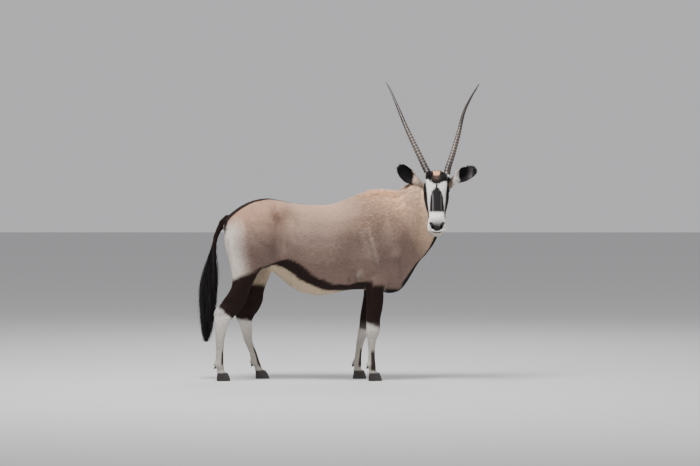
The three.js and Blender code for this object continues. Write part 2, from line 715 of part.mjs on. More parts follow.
const ears = {
  right: earSolid(-1, 26, new THREE.Vector3(-138, 18, 107)).subtract(besideEars),
  left: earSolid(1, 22, new THREE.Vector3(150, 18, 92)).subtract(besideEars),
};
const clearOfEars = (lock) => Object.values(ears).every((ear) => lock.intersect(ear).isEmpty());
const neckWhole = wasm.Manifold.union([bareNeck, ...neckLocks.filter(clearOfEars)]);

for (const leg of legs) {
  const steps = leg.upper === hindThigh ? 15 : 12;
  const upper = legSolid(leg, leg.upper, steps);
  torso = torso.subtract(legSolid(leg, leg.upper, steps, GAP + 0.1));
  const lowerRows = leg.lower.map((row, i) => {
    const [z] = row;
    const lift = i === 0 ? -GAP : 0;
    return [z + lift, ...row.slice(1)];
  });
  addNode(`${leg.name}_upper_leg`, upper, "darkCoat");
  addNode(`${leg.name}_lower_leg`, legSolid(leg, lowerRows, 16), "paleCoat");
  addNode(`${leg.name}_outer_claw`, clawSolid(leg, false), "hoof");
  addNode(`${leg.name}_inner_claw`, clawSolid(leg, true), "hoof");
}
torso = largest(torso);
addNode("torso", torso, "coat");
const neck = largest(neckWhole.subtract(headRoom));
addNode("neck", neck, "coat");
addNode("head", head, "face");
for (const side of [-1, 1]) {
  const hand = side < 0 ? "right" : "left";
  addNode(`eye_${hand}`, eyeball(side), "eye");
  addNode(`horn_${hand}`, hornSolid(hornPaths[hand]).subtract(headRoom), "horn");
  addNode(`ear_${hand}`, ears[hand], "face");
}
const torsoRoom = grown(torso, 0.5);
const dock = tailSolid(dockRows, 0, 1, 14).subtract(torsoRoom);
addNode("tail", brushSolid(largest(dock)), "tail");

// The origin is under the middle of the animal, on the floor.
const box = new THREE.Box3().setFromObject(gemsbok);
const origin = new THREE.Vector3((box.min.x + box.max.x) / 2, (box.min.y + box.max.y) / 2, box.min.z);
gemsbok.position.sub(origin);
export default gemsbok;
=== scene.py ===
# %% [markdown]
# # A gemsbok, dressed for the render
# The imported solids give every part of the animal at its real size. This script lays one smooth skin
# over the parts of flesh, draws the markings, and grows the coat, mane and brush of the tail as thin mesh
# tufts. Horns, hooves and eyes are pieces of their own. Lengths are in metres: x runs from tail to
# head, y to the animal's left, z up.

# %% Load the solids and keep their box
import math

import bpy
import numpy as np
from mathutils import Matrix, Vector
from mathutils.bvhtree import BVHTree


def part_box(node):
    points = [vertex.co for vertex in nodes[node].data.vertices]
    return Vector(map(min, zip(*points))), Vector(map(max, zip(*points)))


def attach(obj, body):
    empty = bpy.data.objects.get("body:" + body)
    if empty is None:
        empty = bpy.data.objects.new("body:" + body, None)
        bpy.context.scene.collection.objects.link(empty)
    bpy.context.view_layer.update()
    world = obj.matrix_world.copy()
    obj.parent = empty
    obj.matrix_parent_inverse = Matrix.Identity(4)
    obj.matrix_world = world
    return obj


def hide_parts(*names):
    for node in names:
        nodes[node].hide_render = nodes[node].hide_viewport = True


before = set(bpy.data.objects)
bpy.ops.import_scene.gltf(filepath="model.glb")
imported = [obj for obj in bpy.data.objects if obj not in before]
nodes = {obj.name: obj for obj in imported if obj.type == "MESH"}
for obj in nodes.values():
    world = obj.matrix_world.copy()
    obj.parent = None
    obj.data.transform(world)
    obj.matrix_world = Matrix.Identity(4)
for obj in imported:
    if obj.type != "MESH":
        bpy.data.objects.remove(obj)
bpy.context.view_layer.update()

# %% [markdown]
# ## Helpers for meshes and materials
# Every piece is made from arrays of points and faces, which is fast for a coat of many thousand
# tufts. Colours are written as sRGB hex values, as a colour picker shows them, and one function turns
# them into the linear values that the shader wants.

# %% Mesh helper
def mesh_piece(name, points, faces, smooth=True):
    mesh = bpy.data.meshes.new(name)
    faces = np.asarray(faces, dtype=np.int32)
    count, sides = faces.shape
    mesh.vertices.add(len(points))
    mesh.vertices.foreach_set("co", np.asarray(points, dtype=np.float32).ravel())
    mesh.loops.add(count * sides)
    mesh.loops.foreach_set("vertex_index", faces.ravel())
    mesh.polygons.add(count)
    mesh.polygons.foreach_set("loop_start", np.arange(count, dtype=np.int32) * sides)
    mesh.polygons.foreach_set("use_smooth", np.full(count, smooth))
    mesh.update(calc_edges=True)
    piece = bpy.data.objects.new(name, mesh)
    bpy.context.scene.collection.objects.link(piece)
    return piece


# %% Reading meshes
def numbers_of(items, name, width, kind):
    values = np.empty(len(items) * width, dtype=kind)
    items.foreach_get(name, values)
    return values.reshape(-1, width)


def triangles_of(mesh):
    mesh.calc_loop_triangles()
    return (numbers_of(mesh.vertices, "co", 3, np.float32).astype(float),
            numbers_of(mesh.loop_triangles, "vertices", 3, np.int32))


def mesh_after_modifiers(piece):
    graph = bpy.context.evaluated_depsgraph_get()
    mesh = bpy.data.meshes.new_from_object(piece.evaluated_get(graph))
    bpy.data.objects.remove(piece)
    return mesh


def add_voxels(piece, size):
    remesh = piece.modifiers.new("remesh", "REMESH")
    remesh.mode = "VOXEL"
    remesh.voxel_size = size


# %% Colour and attribute helpers
def linear(hex_colour):
    parts = [int(hex_colour[i:i + 2], 16) / 255 for i in (1, 3, 5)]
    return [part / 12.92 if part <= 0.04045 else ((part + 0.055) / 1.055) ** 2.4 for part in parts]


def paint(piece, name, values):
    values = np.asarray(values, dtype=np.float32)
    if values.shape[1] == 3:
        values = np.column_stack([values, np.ones(len(values), dtype=np.float32)])
    attribute = piece.data.color_attributes.new(name, "FLOAT_COLOR", "POINT")
    attribute.data.foreach_set("color", values.ravel())


# %% Node helper
def add_node(tree, kind, settings=None, links=None):
    node = tree.nodes.new(kind)
    for key, value in (settings or {}).items():
        if isinstance(key, str) and hasattr(node, key):
            setattr(node, key, value)
        else:
            node.inputs[key].default_value = value
    for socket, source in (links or {}).items():
        tree.links.new(source, node.inputs[socket])
    return node


def new_material(name):
    material = bpy.data.materials.new(name)
    material.use_nodes = True
    tree = material.node_tree
    tree.nodes.clear()
    output = add_node(tree, "ShaderNodeOutputMaterial")
    return material, tree, output


def shade_with(tree, output, settings, links):
    shader = add_node(tree, "ShaderNodeBsdfPrincipled", settings, links)
    tree.links.new(shader.outputs["BSDF"], output.inputs["Surface"])


def object_place(tree):
    return add_node(tree, "ShaderNodeTexCoord").outputs["Object"]


def bumped(tree, height, strength, distance):
    settings = {"Strength": strength, "Distance": distance}
    return add_node(tree, "ShaderNodeBump", settings, {"Height": height}).outputs["Normal"]


def coat_attribute(tree):
    return add_node(tree, "ShaderNodeVertexColor", {"layer_name": "Coat colour"}).outputs["Color"]


# %% [markdown]
# ## Camera, light and floor
# The photograph was taken from a little above the animal's back, from its right and from far away, so
# the lens is long. A pale floor and large soft lights show the form without hard shadows.

# %% Camera
LENS_PIXELS = 3980
PHOTO_WIDTH = 700
SENSOR = 36
AIM = Vector((0.0558, -0.0255, 0.9232))
CAMERA_PLACE = Vector((0.0558, -25.0255, 1.70))

camera_data = bpy.data.cameras.new("camera")
camera_data.sensor_width = SENSOR
camera_data.lens = LENS_PIXELS / PHOTO_WIDTH * SENSOR
camera_data.clip_end = 100
camera = bpy.data.objects.new("camera", camera_data)
camera.location = CAMERA_PLACE
camera.rotation_euler = (AIM - CAMERA_PLACE).to_track_quat("-Z", "Y").to_euler()
bpy.context.scene.collection.objects.link(camera)
bpy.context.scene.camera = camera
print("lens:", round(camera_data.lens, 1), "mm")


# %% Lights
def soft_light(name, place, aim, size, power):
    data = bpy.data.lights.new(name, "AREA")
    data.size = size
    data.energy = power
    light = bpy.data.objects.new(name, data)
    light.location = place
    light.rotation_euler = (Vector(aim) - Vector(place)).to_track_quat("-Z", "Y").to_euler()
    bpy.context.scene.collection.objects.link(light)


soft_light("key_light", (-1.2, -1.9, 5.8), (0, 0, 0.9), 2.0, 520)
soft_light("fill_light", (4.0, -4.6, 2.4), (0.1, 0, 0.8), 3.0, 48)
soft_light("rim_light", (0.5, 4.4, 4.6), (0, 0, 1.0), 2.5, 120)

STUDIO_TINT = (0.97, 0.97, 1.0, 1)
STUDIO_STRENGTH = 0.55
world = bpy.data.worlds.new("studio")
bpy.context.scene.world = world
world.use_nodes = True
background = world.node_tree.nodes["Background"]
background.inputs["Color"].default_value = STUDIO_TINT
background.inputs["Strength"].default_value = STUDIO_STRENGTH

# %% Floor
FLOOR_REACH = 30
floor_material, tree, output = new_material("pale_floor_paint")
grain = add_node(tree, "ShaderNodeTexNoise", {"Scale": 14.0, "Detail": 4.0})
ramp = add_node(tree, "ShaderNodeMapRange", {"To Min": 0.56, "To Max": 0.58},
                {"Value": grain.outputs["Fac"]})
shade_with(tree, output, {"Roughness": 0.9}, {"Base Color": ramp.outputs["Result"]})
corners = [(x, y, 0) for x, y in ((-1, -1), (1, -1), (1, 1), (-1, 1))]
floor = mesh_piece("floor", np.array(corners) * FLOOR_REACH, [[0, 1, 2, 3]], smooth=False)
floor.data.materials.append(floor_material)

# %% [markdown]
# ## Skin
# On the animal one skin runs over torso, neck, head, ears and legs. The solids are joined and covered
# by a fine voxel mesh, which closes the cuts between them. Averaging each point with its neighbours
# then takes away the flat facets: much on the barrel, little on the legs, and hardly at all on the
# face and ears, where it would wear away their shape. Each horn stands on a short stump of the skull
# that is covered with skin and hair, so two stumps and the dock of the tail are joined in as well.

# %% Tube builder and the dock of the tail
MIDDLE = -0.0255
DOCK = [(-0.704, 1.025, 0.026), (-0.744, 0.992, 0.0235), (-0.766, 0.95, 0.021), (-0.786, 0.905, 0.0185),
        (-0.798, 0.848, 0.017), (-0.809, 0.779, 0.0155), (-0.817, 0.70, 0.012), (-0.821, 0.655, 0.006)]


def tube(line, radii, sides=20, flatten=1.0):
    line = np.asarray(line, dtype=float)
    steps = len(line)
    tangents = np.gradient(line, axis=0)
    tangents /= np.linalg.norm(tangents, axis=1)[:, None]
    across = np.cross(tangents, (0.0, 1.0, 0.0))
    across /= np.linalg.norm(across, axis=1)[:, None]
    beside = np.cross(tangents, across)
    turns = np.arange(sides) / sides * 2 * math.pi
    rings = (line[:, None, :] + radii[:, None, None]
             * (np.cos(turns)[None, :, None] * across[:, None, :]
                + flatten * np.sin(turns)[None, :, None] * beside[:, None, :]))
    points = np.concatenate([rings.reshape(-1, 3), line[:1], line[-1:]])
    faces = []
    for i in range(steps - 1):
        for k in range(sides):
            a, b = i * sides + k, i * sides + (k + 1) % sides
            faces += [[a, b, b + sides], [a, b + sides, a + sides]]
    last = (steps - 1) * sides
    for k in range(sides):
        faces += [[steps * sides, (k + 1) % sides, k], [steps * sides + 1, last + k, last + (k + 1) % sides]]
    return points, np.array(faces)


# %% Lines of the horns and the stumps that carry them
HORN_START = np.array([0.596, -0.1295, 1.290])
HORN_LINES = {
    "right": [(-30, 18, -34), (-46, 0, 0), (-74, 44, 56), (-118, 120, 150), (-179, 228, 281),
              (-238, 348, 425), (-282, 430, 530), (-312, 470, 581)],
    "left": [(42, 12, -46), (62, -14, -18), (73, 32, 38), (103, 100, 125), (142, 204, 250),
             (179, 316, 385), (222, 390, 475), (282, 462, 572)],
}
HORN_STOPS = {hand: HORN_START + np.array(stops) / 1000 for hand, stops in HORN_LINES.items()}
HORN_BASES = [stops[1] for stops in HORN_STOPS.values()]


def curve_through(stops, count):
    stops = np.asarray(stops, dtype=float)
    padded = np.concatenate([2 * stops[:1] - stops[1:2], stops, 2 * stops[-1:] - stops[-2:-1]])
    out = []
    for i in range(len(stops) - 1):
        a, b, c, d = padded[i:i + 4]
        u = np.linspace(0, 1, 200, endpoint=False)[:, None]
        out.append(0.5 * (2 * b + (c - a) * u + (2 * a - 5 * b + 4 * c - d) * u ** 2
                          + (3 * b - a - 3 * c + d) * u ** 3))
    out = np.concatenate(out + [stops[-1:]])
    run = np.concatenate([[0], np.cumsum(np.linalg.norm(np.diff(out, axis=0), axis=1))])
    even = np.linspace(0, run[-1], count)
    return np.column_stack([np.interp(even, run, out[:, k]) for k in range(3)]), run[-1]


STUMP_STEPS = 15
STUMP_RADII = np.interp(np.arange(STUMP_STEPS), [0, 8, 14], [0.024, 0.0315, 0.0275])
stumps = [tube(curve_through(stops, 200)[0][:STUMP_STEPS], STUMP_RADII) for stops in HORN_STOPS.values()]
print("stumps:", len(stumps))

# %% Put the flesh together
LEGS = ["hind_right", "hind_left", "fore_right", "fore_left"]
FLESH = ["torso", "neck", "head", "ear_right", "ear_left"]
FLESH += [f"{leg}_{part}_leg" for leg in LEGS for part in ("upper", "lower")]

PARTS = ["tail"] + FLESH
dock_line = np.array([(x, MIDDLE, z) for x, z, _ in DOCK])
joined = [(0, tube(dock_line, np.array([radius for *_, radius in DOCK])))]
joined += [(PARTS.index(name), triangles_of(nodes[name].data)) for name in FLESH]
joined += [(PARTS.index("head"), stump) for stump in stumps]
starts = np.cumsum([0] + [len(points) for _, (points, _) in joined])
flesh_points = np.concatenate([points for _, (points, _) in joined])
flesh_faces = np.concatenate([faces + start for start, (_, (_, faces)) in zip(starts, joined)])
face_part = np.concatenate([np.full(len(faces), part) for part, (_, faces) in joined])
flesh_tree = BVHTree.FromPolygons(flesh_points.tolist(), flesh_faces.tolist())
flesh = mesh_piece("flesh", flesh_points, flesh_faces)
print("flesh:", len(flesh_faces), "triangles in", len(PARTS), "parts")

# %% Cover them with one voxel mesh
SKIN_VOXEL = 0.003
add_voxels(flesh, SKIN_VOXEL)
covered = mesh_after_modifiers(flesh)
points = numbers_of(covered.vertices, "co", 3, np.float32).astype(float)
quads = numbers_of(covered.loops, "vertex_index", 1, np.int32).reshape(-1, 4)
bpy.data.meshes.remove(covered)


def edges_of(faces):
    pairs = np.concatenate([faces[:, [i, (i + 1) % faces.shape[1]]] for i in range(faces.shape[1])])
    return np.unique(np.sort(pairs, axis=1), axis=0)


def largest_shell(points, faces):
    edges = edges_of(faces)
    label = np.arange(len(points))
    while True:
        low = np.minimum(label[edges[:, 0]], label[edges[:, 1]])
        lowered = label.copy()
        np.minimum.at(lowered, edges[:, 0], low)
        np.minimum.at(lowered, edges[:, 1], low)
        lowered = lowered[lowered]
        if np.array_equal(lowered, label):
            break
        label = lowered
    names, sizes = np.unique(label, return_counts=True)
    keep = label == names[sizes.argmax()]
    place = np.cumsum(keep) - 1
    return points[keep], place[faces[keep[faces[:, 0]]]]


points, quads = largest_shell(points, quads)
print("voxel skin:", len(points), "points")


# %% Smooth it by part
def nearest_parts(points):
    found = [flesh_tree.find_nearest(point)[2] for point in points.tolist()]
    return face_part[np.array(found)]


def averaged(values, edges, weights=None, turns=1):
    count = np.bincount(edges.ravel(), minlength=len(values)).astype(float)
    for _ in range(turns):
        total = np.empty_like(values)
        for axis in range(values.shape[1]):
            column = values[:, axis]
            total[:, axis] = (np.bincount(edges[:, 0], column[edges[:, 1]], len(values))
                              + np.bincount(edges[:, 1], column[edges[:, 0]], len(values)))
        mean = total / count[:, None]
        values = mean if weights is None else values + (mean - values) * weights[:, None]
    return values


SMOOTH_TURNS = 60
SMOOTHING = {"torso": 0.95, "neck": 0.9, "head": 0.07, "tail": 0.2, "ear": 0.05, "upper": 0.5, "lower": 0.12}


def by_part(table, part):
    values = [next(value for key, value in table.items() if key in name) for name in PARTS]
    return np.array(values, dtype=float)[part]


skin_part = nearest_parts(points)
edges = edges_of(quads)
weights = by_part(SMOOTHING, skin_part)
high_thigh = np.clip((points[:, 2] - 0.5) / 0.15, 0, 1)
upper_leg = by_part({"upper": 1.0, "": 0.0}, skin_part) > 0
weights[upper_leg] = 0.22 + 0.7 * high_thigh[upper_leg]
weights = averaged(weights[:, None], edges, turns=12)[:, 0]
points = averaged(points, edges, weights, SMOOTH_TURNS)
print("smoothed:", SMOOTH_TURNS, "turns")


# %% [markdown]
# ## Form under the skin
# Bones and muscles show through a short coat: the hip bone and the hollow before it, the edge of the
# haunch, the stifle, the triceps behind the shoulder and the elbow. Each is a soft swelling or hollow
# at a named place, pushed along the skin's own direction on both sides of the body. Below the knee a
# groove runs between the cannon bone and the tendons behind it, and knee, hock and fetlock stand out.

# %% Swellings and hollows
RELIEF = {
    "hip bone": ((-0.410, 0.16, 1.055), (0.036, 0.08, 0.045), 0.011),
    "hollow before the hip": ((-0.325, 0.17, 1.035), (0.04, 0.09, 0.06), -0.017),
    "flat of the haunch": ((-0.47, 0.2, 0.97), (0.07, 0.1, 0.08), -0.012),
    "edge of the haunch": ((-0.36, 0.2, 0.88), (0.034, 0.12, 0.1), -0.014),
    "rear of the barrel": ((-0.27, 0.2, 0.86), (0.075, 0.12, 0.1), 0.012),
    "thigh": ((-0.56, 0.18, 0.85), (0.09, 0.1, 0.09), 0.013),
    "groove of the thigh": ((-0.64, 0.15, 0.8), (0.032, 0.1, 0.12), -0.006),
    "stifle": ((-0.455, 0.17, 0.735), (0.045, 0.08, 0.045), 0.012),
    "side of the ribs": ((-0.1, 0.2, 0.83), (0.12, 0.12, 0.1), 0.006),
    "behind the shoulder": ((0.075, 0.2, 0.87), (0.05, 0.1, 0.13), -0.019),
    "triceps": ((0.25, 0.18, 0.83), (0.055, 0.09, 0.09), 0.018),
    "shoulder blade": ((0.2, 0.15, 1.03), (0.06, 0.09, 0.1), 0.010),
    "before the blade": ((0.3, 0.14, 1.0), (0.045, 0.1, 0.1), -0.011),
    "point of the shoulder": ((0.345, 0.14, 0.765), (0.05, 0.08, 0.05), 0.014),
    "breast groove": ((0.4, 0.1, 0.75), (0.02, 0.08, 0.08), -0.006),
    "elbow": ((0.125, 0.15, 0.665), (0.028, 0.06, 0.03), 0.015),
    "fold behind the elbow": ((0.085, 0.15, 0.64), (0.014, 0.08, 0.04), -0.008),
    "groove of the neck": ((0.43, 0.06, 0.9), (0.03, 0.12, 0.14), -0.010),
}
SHOULDER_EDGE = ((0.169, 0.955), (0.226, 0.741))
SHOULDER_EDGE_WIDTH = 0.014
SHOULDER_EDGE_HEIGHT = 0.004

# %% [markdown]
# The head has its own axes: across the face, down along it, and out of it. In them lie the brow, the
# hollows before and behind the eye, the crest of the cheek, the jaw muscle and the lips. Each nostril
# is a slanted groove with a raised wing round it, and the mouth is a shallow groove over the chin.

# %% Forms of the head
FACE_SLANT = math.radians(32)
FOREHEAD = np.array([0.596, -0.1555, 1.290])
ACROSS = np.array([1.0, 0.0, 0.0])
ALONG = np.array([0.0, -math.sin(FACE_SLANT), -math.cos(FACE_SLANT)])
OUT_OF_FACE = np.array([0.0, -math.cos(FACE_SLANT), math.sin(FACE_SLANT)])
HEAD_RELIEF = {
    "brow": ((0.066, 0.052, -0.034), (0.016, 0.022, 0.016), 0.0055),
    "temple": ((0.06, 0.045, -0.078), (0.02, 0.022, 0.016), -0.005),
    "hollow before the eye": ((0.058, 0.128, -0.043), (0.016, 0.024, 0.014), -0.005),
    "crest of the cheek": ((0.05, 0.19, -0.05), (0.02, 0.05, 0.009), 0.004),
    "hollow of the muzzle": ((0.045, 0.265, -0.045), (0.02, 0.035, 0.016), -0.004),
    "jaw muscle": ((0.05, 0.15, -0.105), (0.03, 0.05, 0.03), 0.006),
    "groove under the cheek": ((0.045, 0.225, -0.085), (0.02, 0.03, 0.016), -0.004),
    "upper lip": ((0.036, 0.355, -0.04), (0.02, 0.022, 0.014), 0.0015),
    "lower lip": ((0.0, 0.37, -0.085), (0.03, 0.02, 0.01), 0.003),
}
NOSTRIL = ((0.025, 0.962), (0.037, 0.990))
NOSTRIL_DEPTH = 0.008
NOSTRIL_WING = 0.003
MOUTH_DEPTH = 0.003
MOUTH_HALF = 0.036


def head_place(p):
    off = p - FOREHEAD
    return off @ ACROSS, off @ ALONG, off @ OUT_OF_FACE


def mouth_height(side):
    return 0.9365 + 0.006 * np.minimum(side / MOUTH_HALF, 1.2) ** 2


def bell(values, centre, width):
    return np.exp(-((values - centre) / width) ** 2)


def swelling(p, place, reach):
    return np.exp(-(((p - place) / reach) ** 2).sum(axis=1))


def to_segment(first, second, ends):
    start, end = np.array(ends)
    off = np.column_stack([first, second]) - start
    share = np.clip(off @ (end - start) / ((end - start) @ (end - start)), 0, 1)
    return np.linalg.norm(off - share[:, None] * (end - start), axis=1)


def normals_of(points, faces):
    normals = np.zeros_like(points)
    corners = [points[faces[:, k]] for k in range(faces.shape[1])]
    cross = np.cross(corners[2] - corners[0], corners[-1] - corners[1])
    for k in range(faces.shape[1]):
        for axis in range(3):
            normals[:, axis] += np.bincount(faces[:, k], cross[:, axis], len(points))
    return normals / np.maximum(np.linalg.norm(normals, axis=1), 1e-12)[:, None]


# %% Draw it in by the depth of the coat
TENDON_GROOVE = 0.003
LEVEL_STEP = 0.01
JOINTS = {
    "fore": {"fetlock": (0.102, 0.017, -1, 0.0055), "pastern": (0.066, 0.012, 0, -0.0035),
             "knee": (0.338, 0.032, 1, 0.0045), "under the knee": (0.268, 0.025, -1, -0.003)},
    "hind": {"fetlock": (0.104, 0.017, -1, 0.0055), "pastern": (0.067, 0.012, 0, -0.0035),
             "point of the hock": (0.435, 0.024, -1, 0.0045), "above the hock": (0.49, 0.02, -1, -0.004)},
}
COAT_DEPTH = {"torso": 0.005, "neck": 0.006, "head": 0.0018, "tail": 0.003, "ear": 0.0006,
              "upper": 0.004, "lower": 0.002}
depth = averaged(by_part(COAT_DEPTH, skin_part)[:, None], edges, turns=8)[:, 0]
normals = normals_of(points, quads)
if (normals * (points - points.mean(axis=0))).sum() < 0:
    quads = quads[:, ::-1]
    normals = -normals
on_body = by_part({"torso": 1.0, "neck": 1.0, "upper": 1.0, "": 0.0}, skin_part)
on_body = averaged(on_body[:, None], edges, turns=8)[:, 0]
mirrored = np.column_stack([points[:, 0], np.abs(points[:, 1] - MIDDLE), points[:, 2]])
push = np.zeros(len(points))
for place, reach, height in RELIEF.values():
    push += height * swelling(mirrored, place, reach)
off_edge = to_segment(points[:, 0], points[:, 2], SHOULDER_EDGE)
push += SHOULDER_EDGE_HEIGHT * bell(off_edge, 0, SHOULDER_EDGE_WIDTH) * (mirrored[:, 1] > 0.08)
push *= on_body
on_head = averaged(by_part({"head": 1.0, "": 0.0}, skin_part)[:, None], edges, turns=2)[:, 0]
side, down, out = head_place(points)
in_head = np.column_stack([np.abs(side), down, out])
for place, reach, height in HEAD_RELIEF.values():
    push += on_head * height * swelling(in_head, place, reach)
off_nostril = to_segment(np.abs(side), points[:, 2], NOSTRIL)
forward = np.clip(-normals[:, 1] / 0.3, 0, 1)
nose_front = on_head * (out > -0.035) * forward
push -= NOSTRIL_DEPTH * nose_front * bell(off_nostril, 0, 0.0042)
push += NOSTRIL_WING * nose_front * bell(off_nostril, 0.011, 0.005)
off_mouth = points[:, 2] - mouth_height(np.abs(side))
mouth_front = on_head * (down > 0.3) * forward * np.clip((MOUTH_HALF - np.abs(side)) / 0.012, 0, 1)
push -= MOUTH_DEPTH * mouth_front * bell(off_mouth, 0, 0.0034)
for leg in LEGS:
    leg_parts = [PARTS.index(f"{leg}_upper_leg"), PARTS.index(f"{leg}_lower_leg")]
    own = np.flatnonzero(np.isin(skin_part, leg_parts) & (points[:, 2] < 0.52))
    level = np.round(points[own, 2] / LEVEL_STEP).astype(int)
    many = np.maximum(np.bincount(level), 1)
    middle = np.column_stack([np.bincount(level, points[own, axis]) / many for axis in (0, 1)])
    off = points[own, :2] - middle[level]
    height_of = points[own, 2]
    long_bone = np.clip((height_of - 0.11) / 0.03, 0, 1) * np.clip((0.3 - height_of) / 0.04, 0, 1)
    groove = bell(off[:, 0], -0.006, 0.007) * (np.abs(normals[own, 1]) > 0.4) * long_bone
    push[own] -= TENDON_GROOVE * groove
    for place, reach, facing, height in JOINTS[leg.split("_")[0]].values():
        turned = np.clip(0.5 + 0.5 * facing * normals[own, 0], 0, 1) if facing else 1.0
        push[own] += height * turned * bell(height_of, place, reach)
points = points + normals * (push - depth)[:, None]
print("coat depth:", round(depth.min() * 1000, 1), "to", round(depth.max() * 1000, 1), "mm")

# %% [markdown]
# The locks of the solid mane leave a ridge in the voxel skin. The skin itself ends at the line of the
# crest, as it is on the animal under its mane, so it is brought down to that line and smoothed there.

# %% Bring the crest down to its line
CREST_LINE = [(0.0, 1.125), (0.056, 1.143), (0.119, 1.174), (0.182, 1.19), (0.225, 1.193), (0.37, 1.186),
              (0.389, 1.205), (0.42, 1.225), (0.458, 1.229), (0.49, 1.218)]
CREST_DEPTH = 0.004
in_crest = np.isin(skin_part, [PARTS.index("torso"), PARTS.index("neck")]) & (points[:, 0] > -0.02)
start_of_crest = 0.012 * np.clip((0.08 - points[:, 0]) / 0.08, 0, 1)
ceiling = np.interp(points[:, 0], *zip(*CREST_LINE)) - CREST_DEPTH + start_of_crest
over = in_crest & (points[:, 2] > ceiling)
lowered = over.sum()
points[over, 2] = ceiling[over]
ridge = (in_crest & (points[:, 2] > ceiling - 0.05)).astype(float)
ridge = averaged(ridge[:, None], edges, turns=16)[:, 0]
points = averaged(points, edges, ridge * 0.9, 45)
print("crest:", lowered, "points brought down")

# %% Thin the mesh where it is flat
SKIN_TRIANGLES = 190_000
draft = mesh_piece("draft", points, quads)
thin = draft.modifiers.new("thin", "DECIMATE")
thin.ratio = SKIN_TRIANGLES / (2 * len(quads))
thinned = mesh_after_modifiers(draft)
skin_points, skin_faces = triangles_of(thinned)
bpy.data.meshes.remove(thinned)
skin_part = nearest_parts(skin_points)
skin_tree = BVHTree.FromPolygons(skin_points.tolist(), skin_faces.tolist())
print("thinned:", len(skin_faces), "triangles")

# %% [markdown]
# ## Eyelids
# Two lids close over each eye to an almond opening that runs along the face. Their edge is bare black
# skin that lies on the ball, and they swell over it and run out into the skin around the eye. They
# are rings of points round the opening, and the outermost ring is found on the skin by a ray.

# %% Lids round each eye
HANDS = (("right", -1), ("left", 1))
EYE_RADIUS = 0.0200
LID_SIDES = 56
LID_LONG = 0.0172
LID_ABOVE = 0.0112
LID_BELOW = 0.0092
LID_REACH = 0.029
LID_SWELL = 0.0026
LID_SHARES = [0.08, 0.2, 0.35, 0.5, 0.65, 0.8, 1.0]
BARE_LID_RINGS = 5


def unit(vector):
    return vector / np.linalg.norm(vector)


def eye_axes(side):
    outward = unit(0.9 * side * ACROSS + 0.42 * OUT_OF_FACE)
    level = unit(ALONG - outward * (ALONG @ outward))
    brow = unit(OUT_OF_FACE - outward * (OUT_OF_FACE @ outward))
    return level, brow, outward


def eye_centre(hand):
    low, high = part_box(f"eye_{hand}")
    return (np.array(low) + np.array(high)) / 2


def lids(hand, side):
    axes = np.array(eye_axes(side))
    turn = np.arange(LID_SIDES) / LID_SIDES * 2 * math.pi
    wide = LID_LONG * np.cos(turn)
    high = np.where(np.sin(turn) > 0, LID_ABOVE, LID_BELOW) * np.sin(turn)
    rings = []
    for radius, grow_by in ((0.0192, 1.0), (0.0210, 1.0), (0.0226, 1.07)):
        across = np.column_stack([wide, high]) * grow_by
        front = np.sqrt(radius ** 2 - (across ** 2).sum(axis=1))
        rings.append(np.column_stack([across, front]) @ axes + eye_centre(hand))
    edge_of_lid = rings[-1]
    outer = []
    for k in range(LID_SIDES):
        aside = LID_REACH * (math.cos(turn[k]) * axes[0] + math.sin(turn[k]) * axes[1])
        hit, *_ = skin_tree.ray_cast(eye_centre(hand) + aside + axes[2] * 0.06, -axes[2], 0.09)
        landed = eye_centre(hand) + aside if hit is None else np.array(hit)
        outer.append(landed - axes[2] * 0.0025)
    outer = np.array(outer)
    swell = np.where(np.sin(turn) > 0, LID_SWELL, 0.6 * LID_SWELL)
    for share in LID_SHARES:
        rise = swell * math.sin(math.pi * share) - 0.0014 * math.exp(-((share - 0.42) / 0.1) ** 2)
        rings.append(edge_of_lid + (outer - edge_of_lid) * share + rise[:, None] * axes[2])
    count = len(rings)
    faces = []
    for ring in range(count):
        for k in range(LID_SIDES):
            a, b = ring * LID_SIDES + k, ring * LID_SIDES + (k + 1) % LID_SIDES
            c = (b + LID_SIDES) % (count * LID_SIDES)
            d = (a + LID_SIDES) % (count * LID_SIDES)
            faces += [[a, d, c], [a, c, b]]
    faces = np.array(faces)
    return np.concatenate(rings), faces[:, ::-1] if side < 0 else faces, edge_of_lid


lid_edges = {}
lid_ring = [np.full(len(skin_points), -1)]
for hand, side in HANDS:
    points, faces, lid_edges[hand] = lids(hand, side)
    skin_faces = np.concatenate([skin_faces, faces + len(skin_points)])
    skin_points = np.concatenate([skin_points, points])
    lid_ring.append(np.repeat(np.arange(len(points) // LID_SIDES), LID_SIDES))
    skin_part = np.concatenate([skin_part, np.full(len(points), PARTS.index("head"))])
lid_ring = np.concatenate(lid_ring)
skin = mesh_piece("skin", skin_points, skin_faces)
skin_normals = normals_of(skin_points, skin_faces[:, [0, 1, 2, 2]])
skin.data.shade_smooth()
print("skin:", len(skin_points), "points,", len(skin_faces), "triangles")
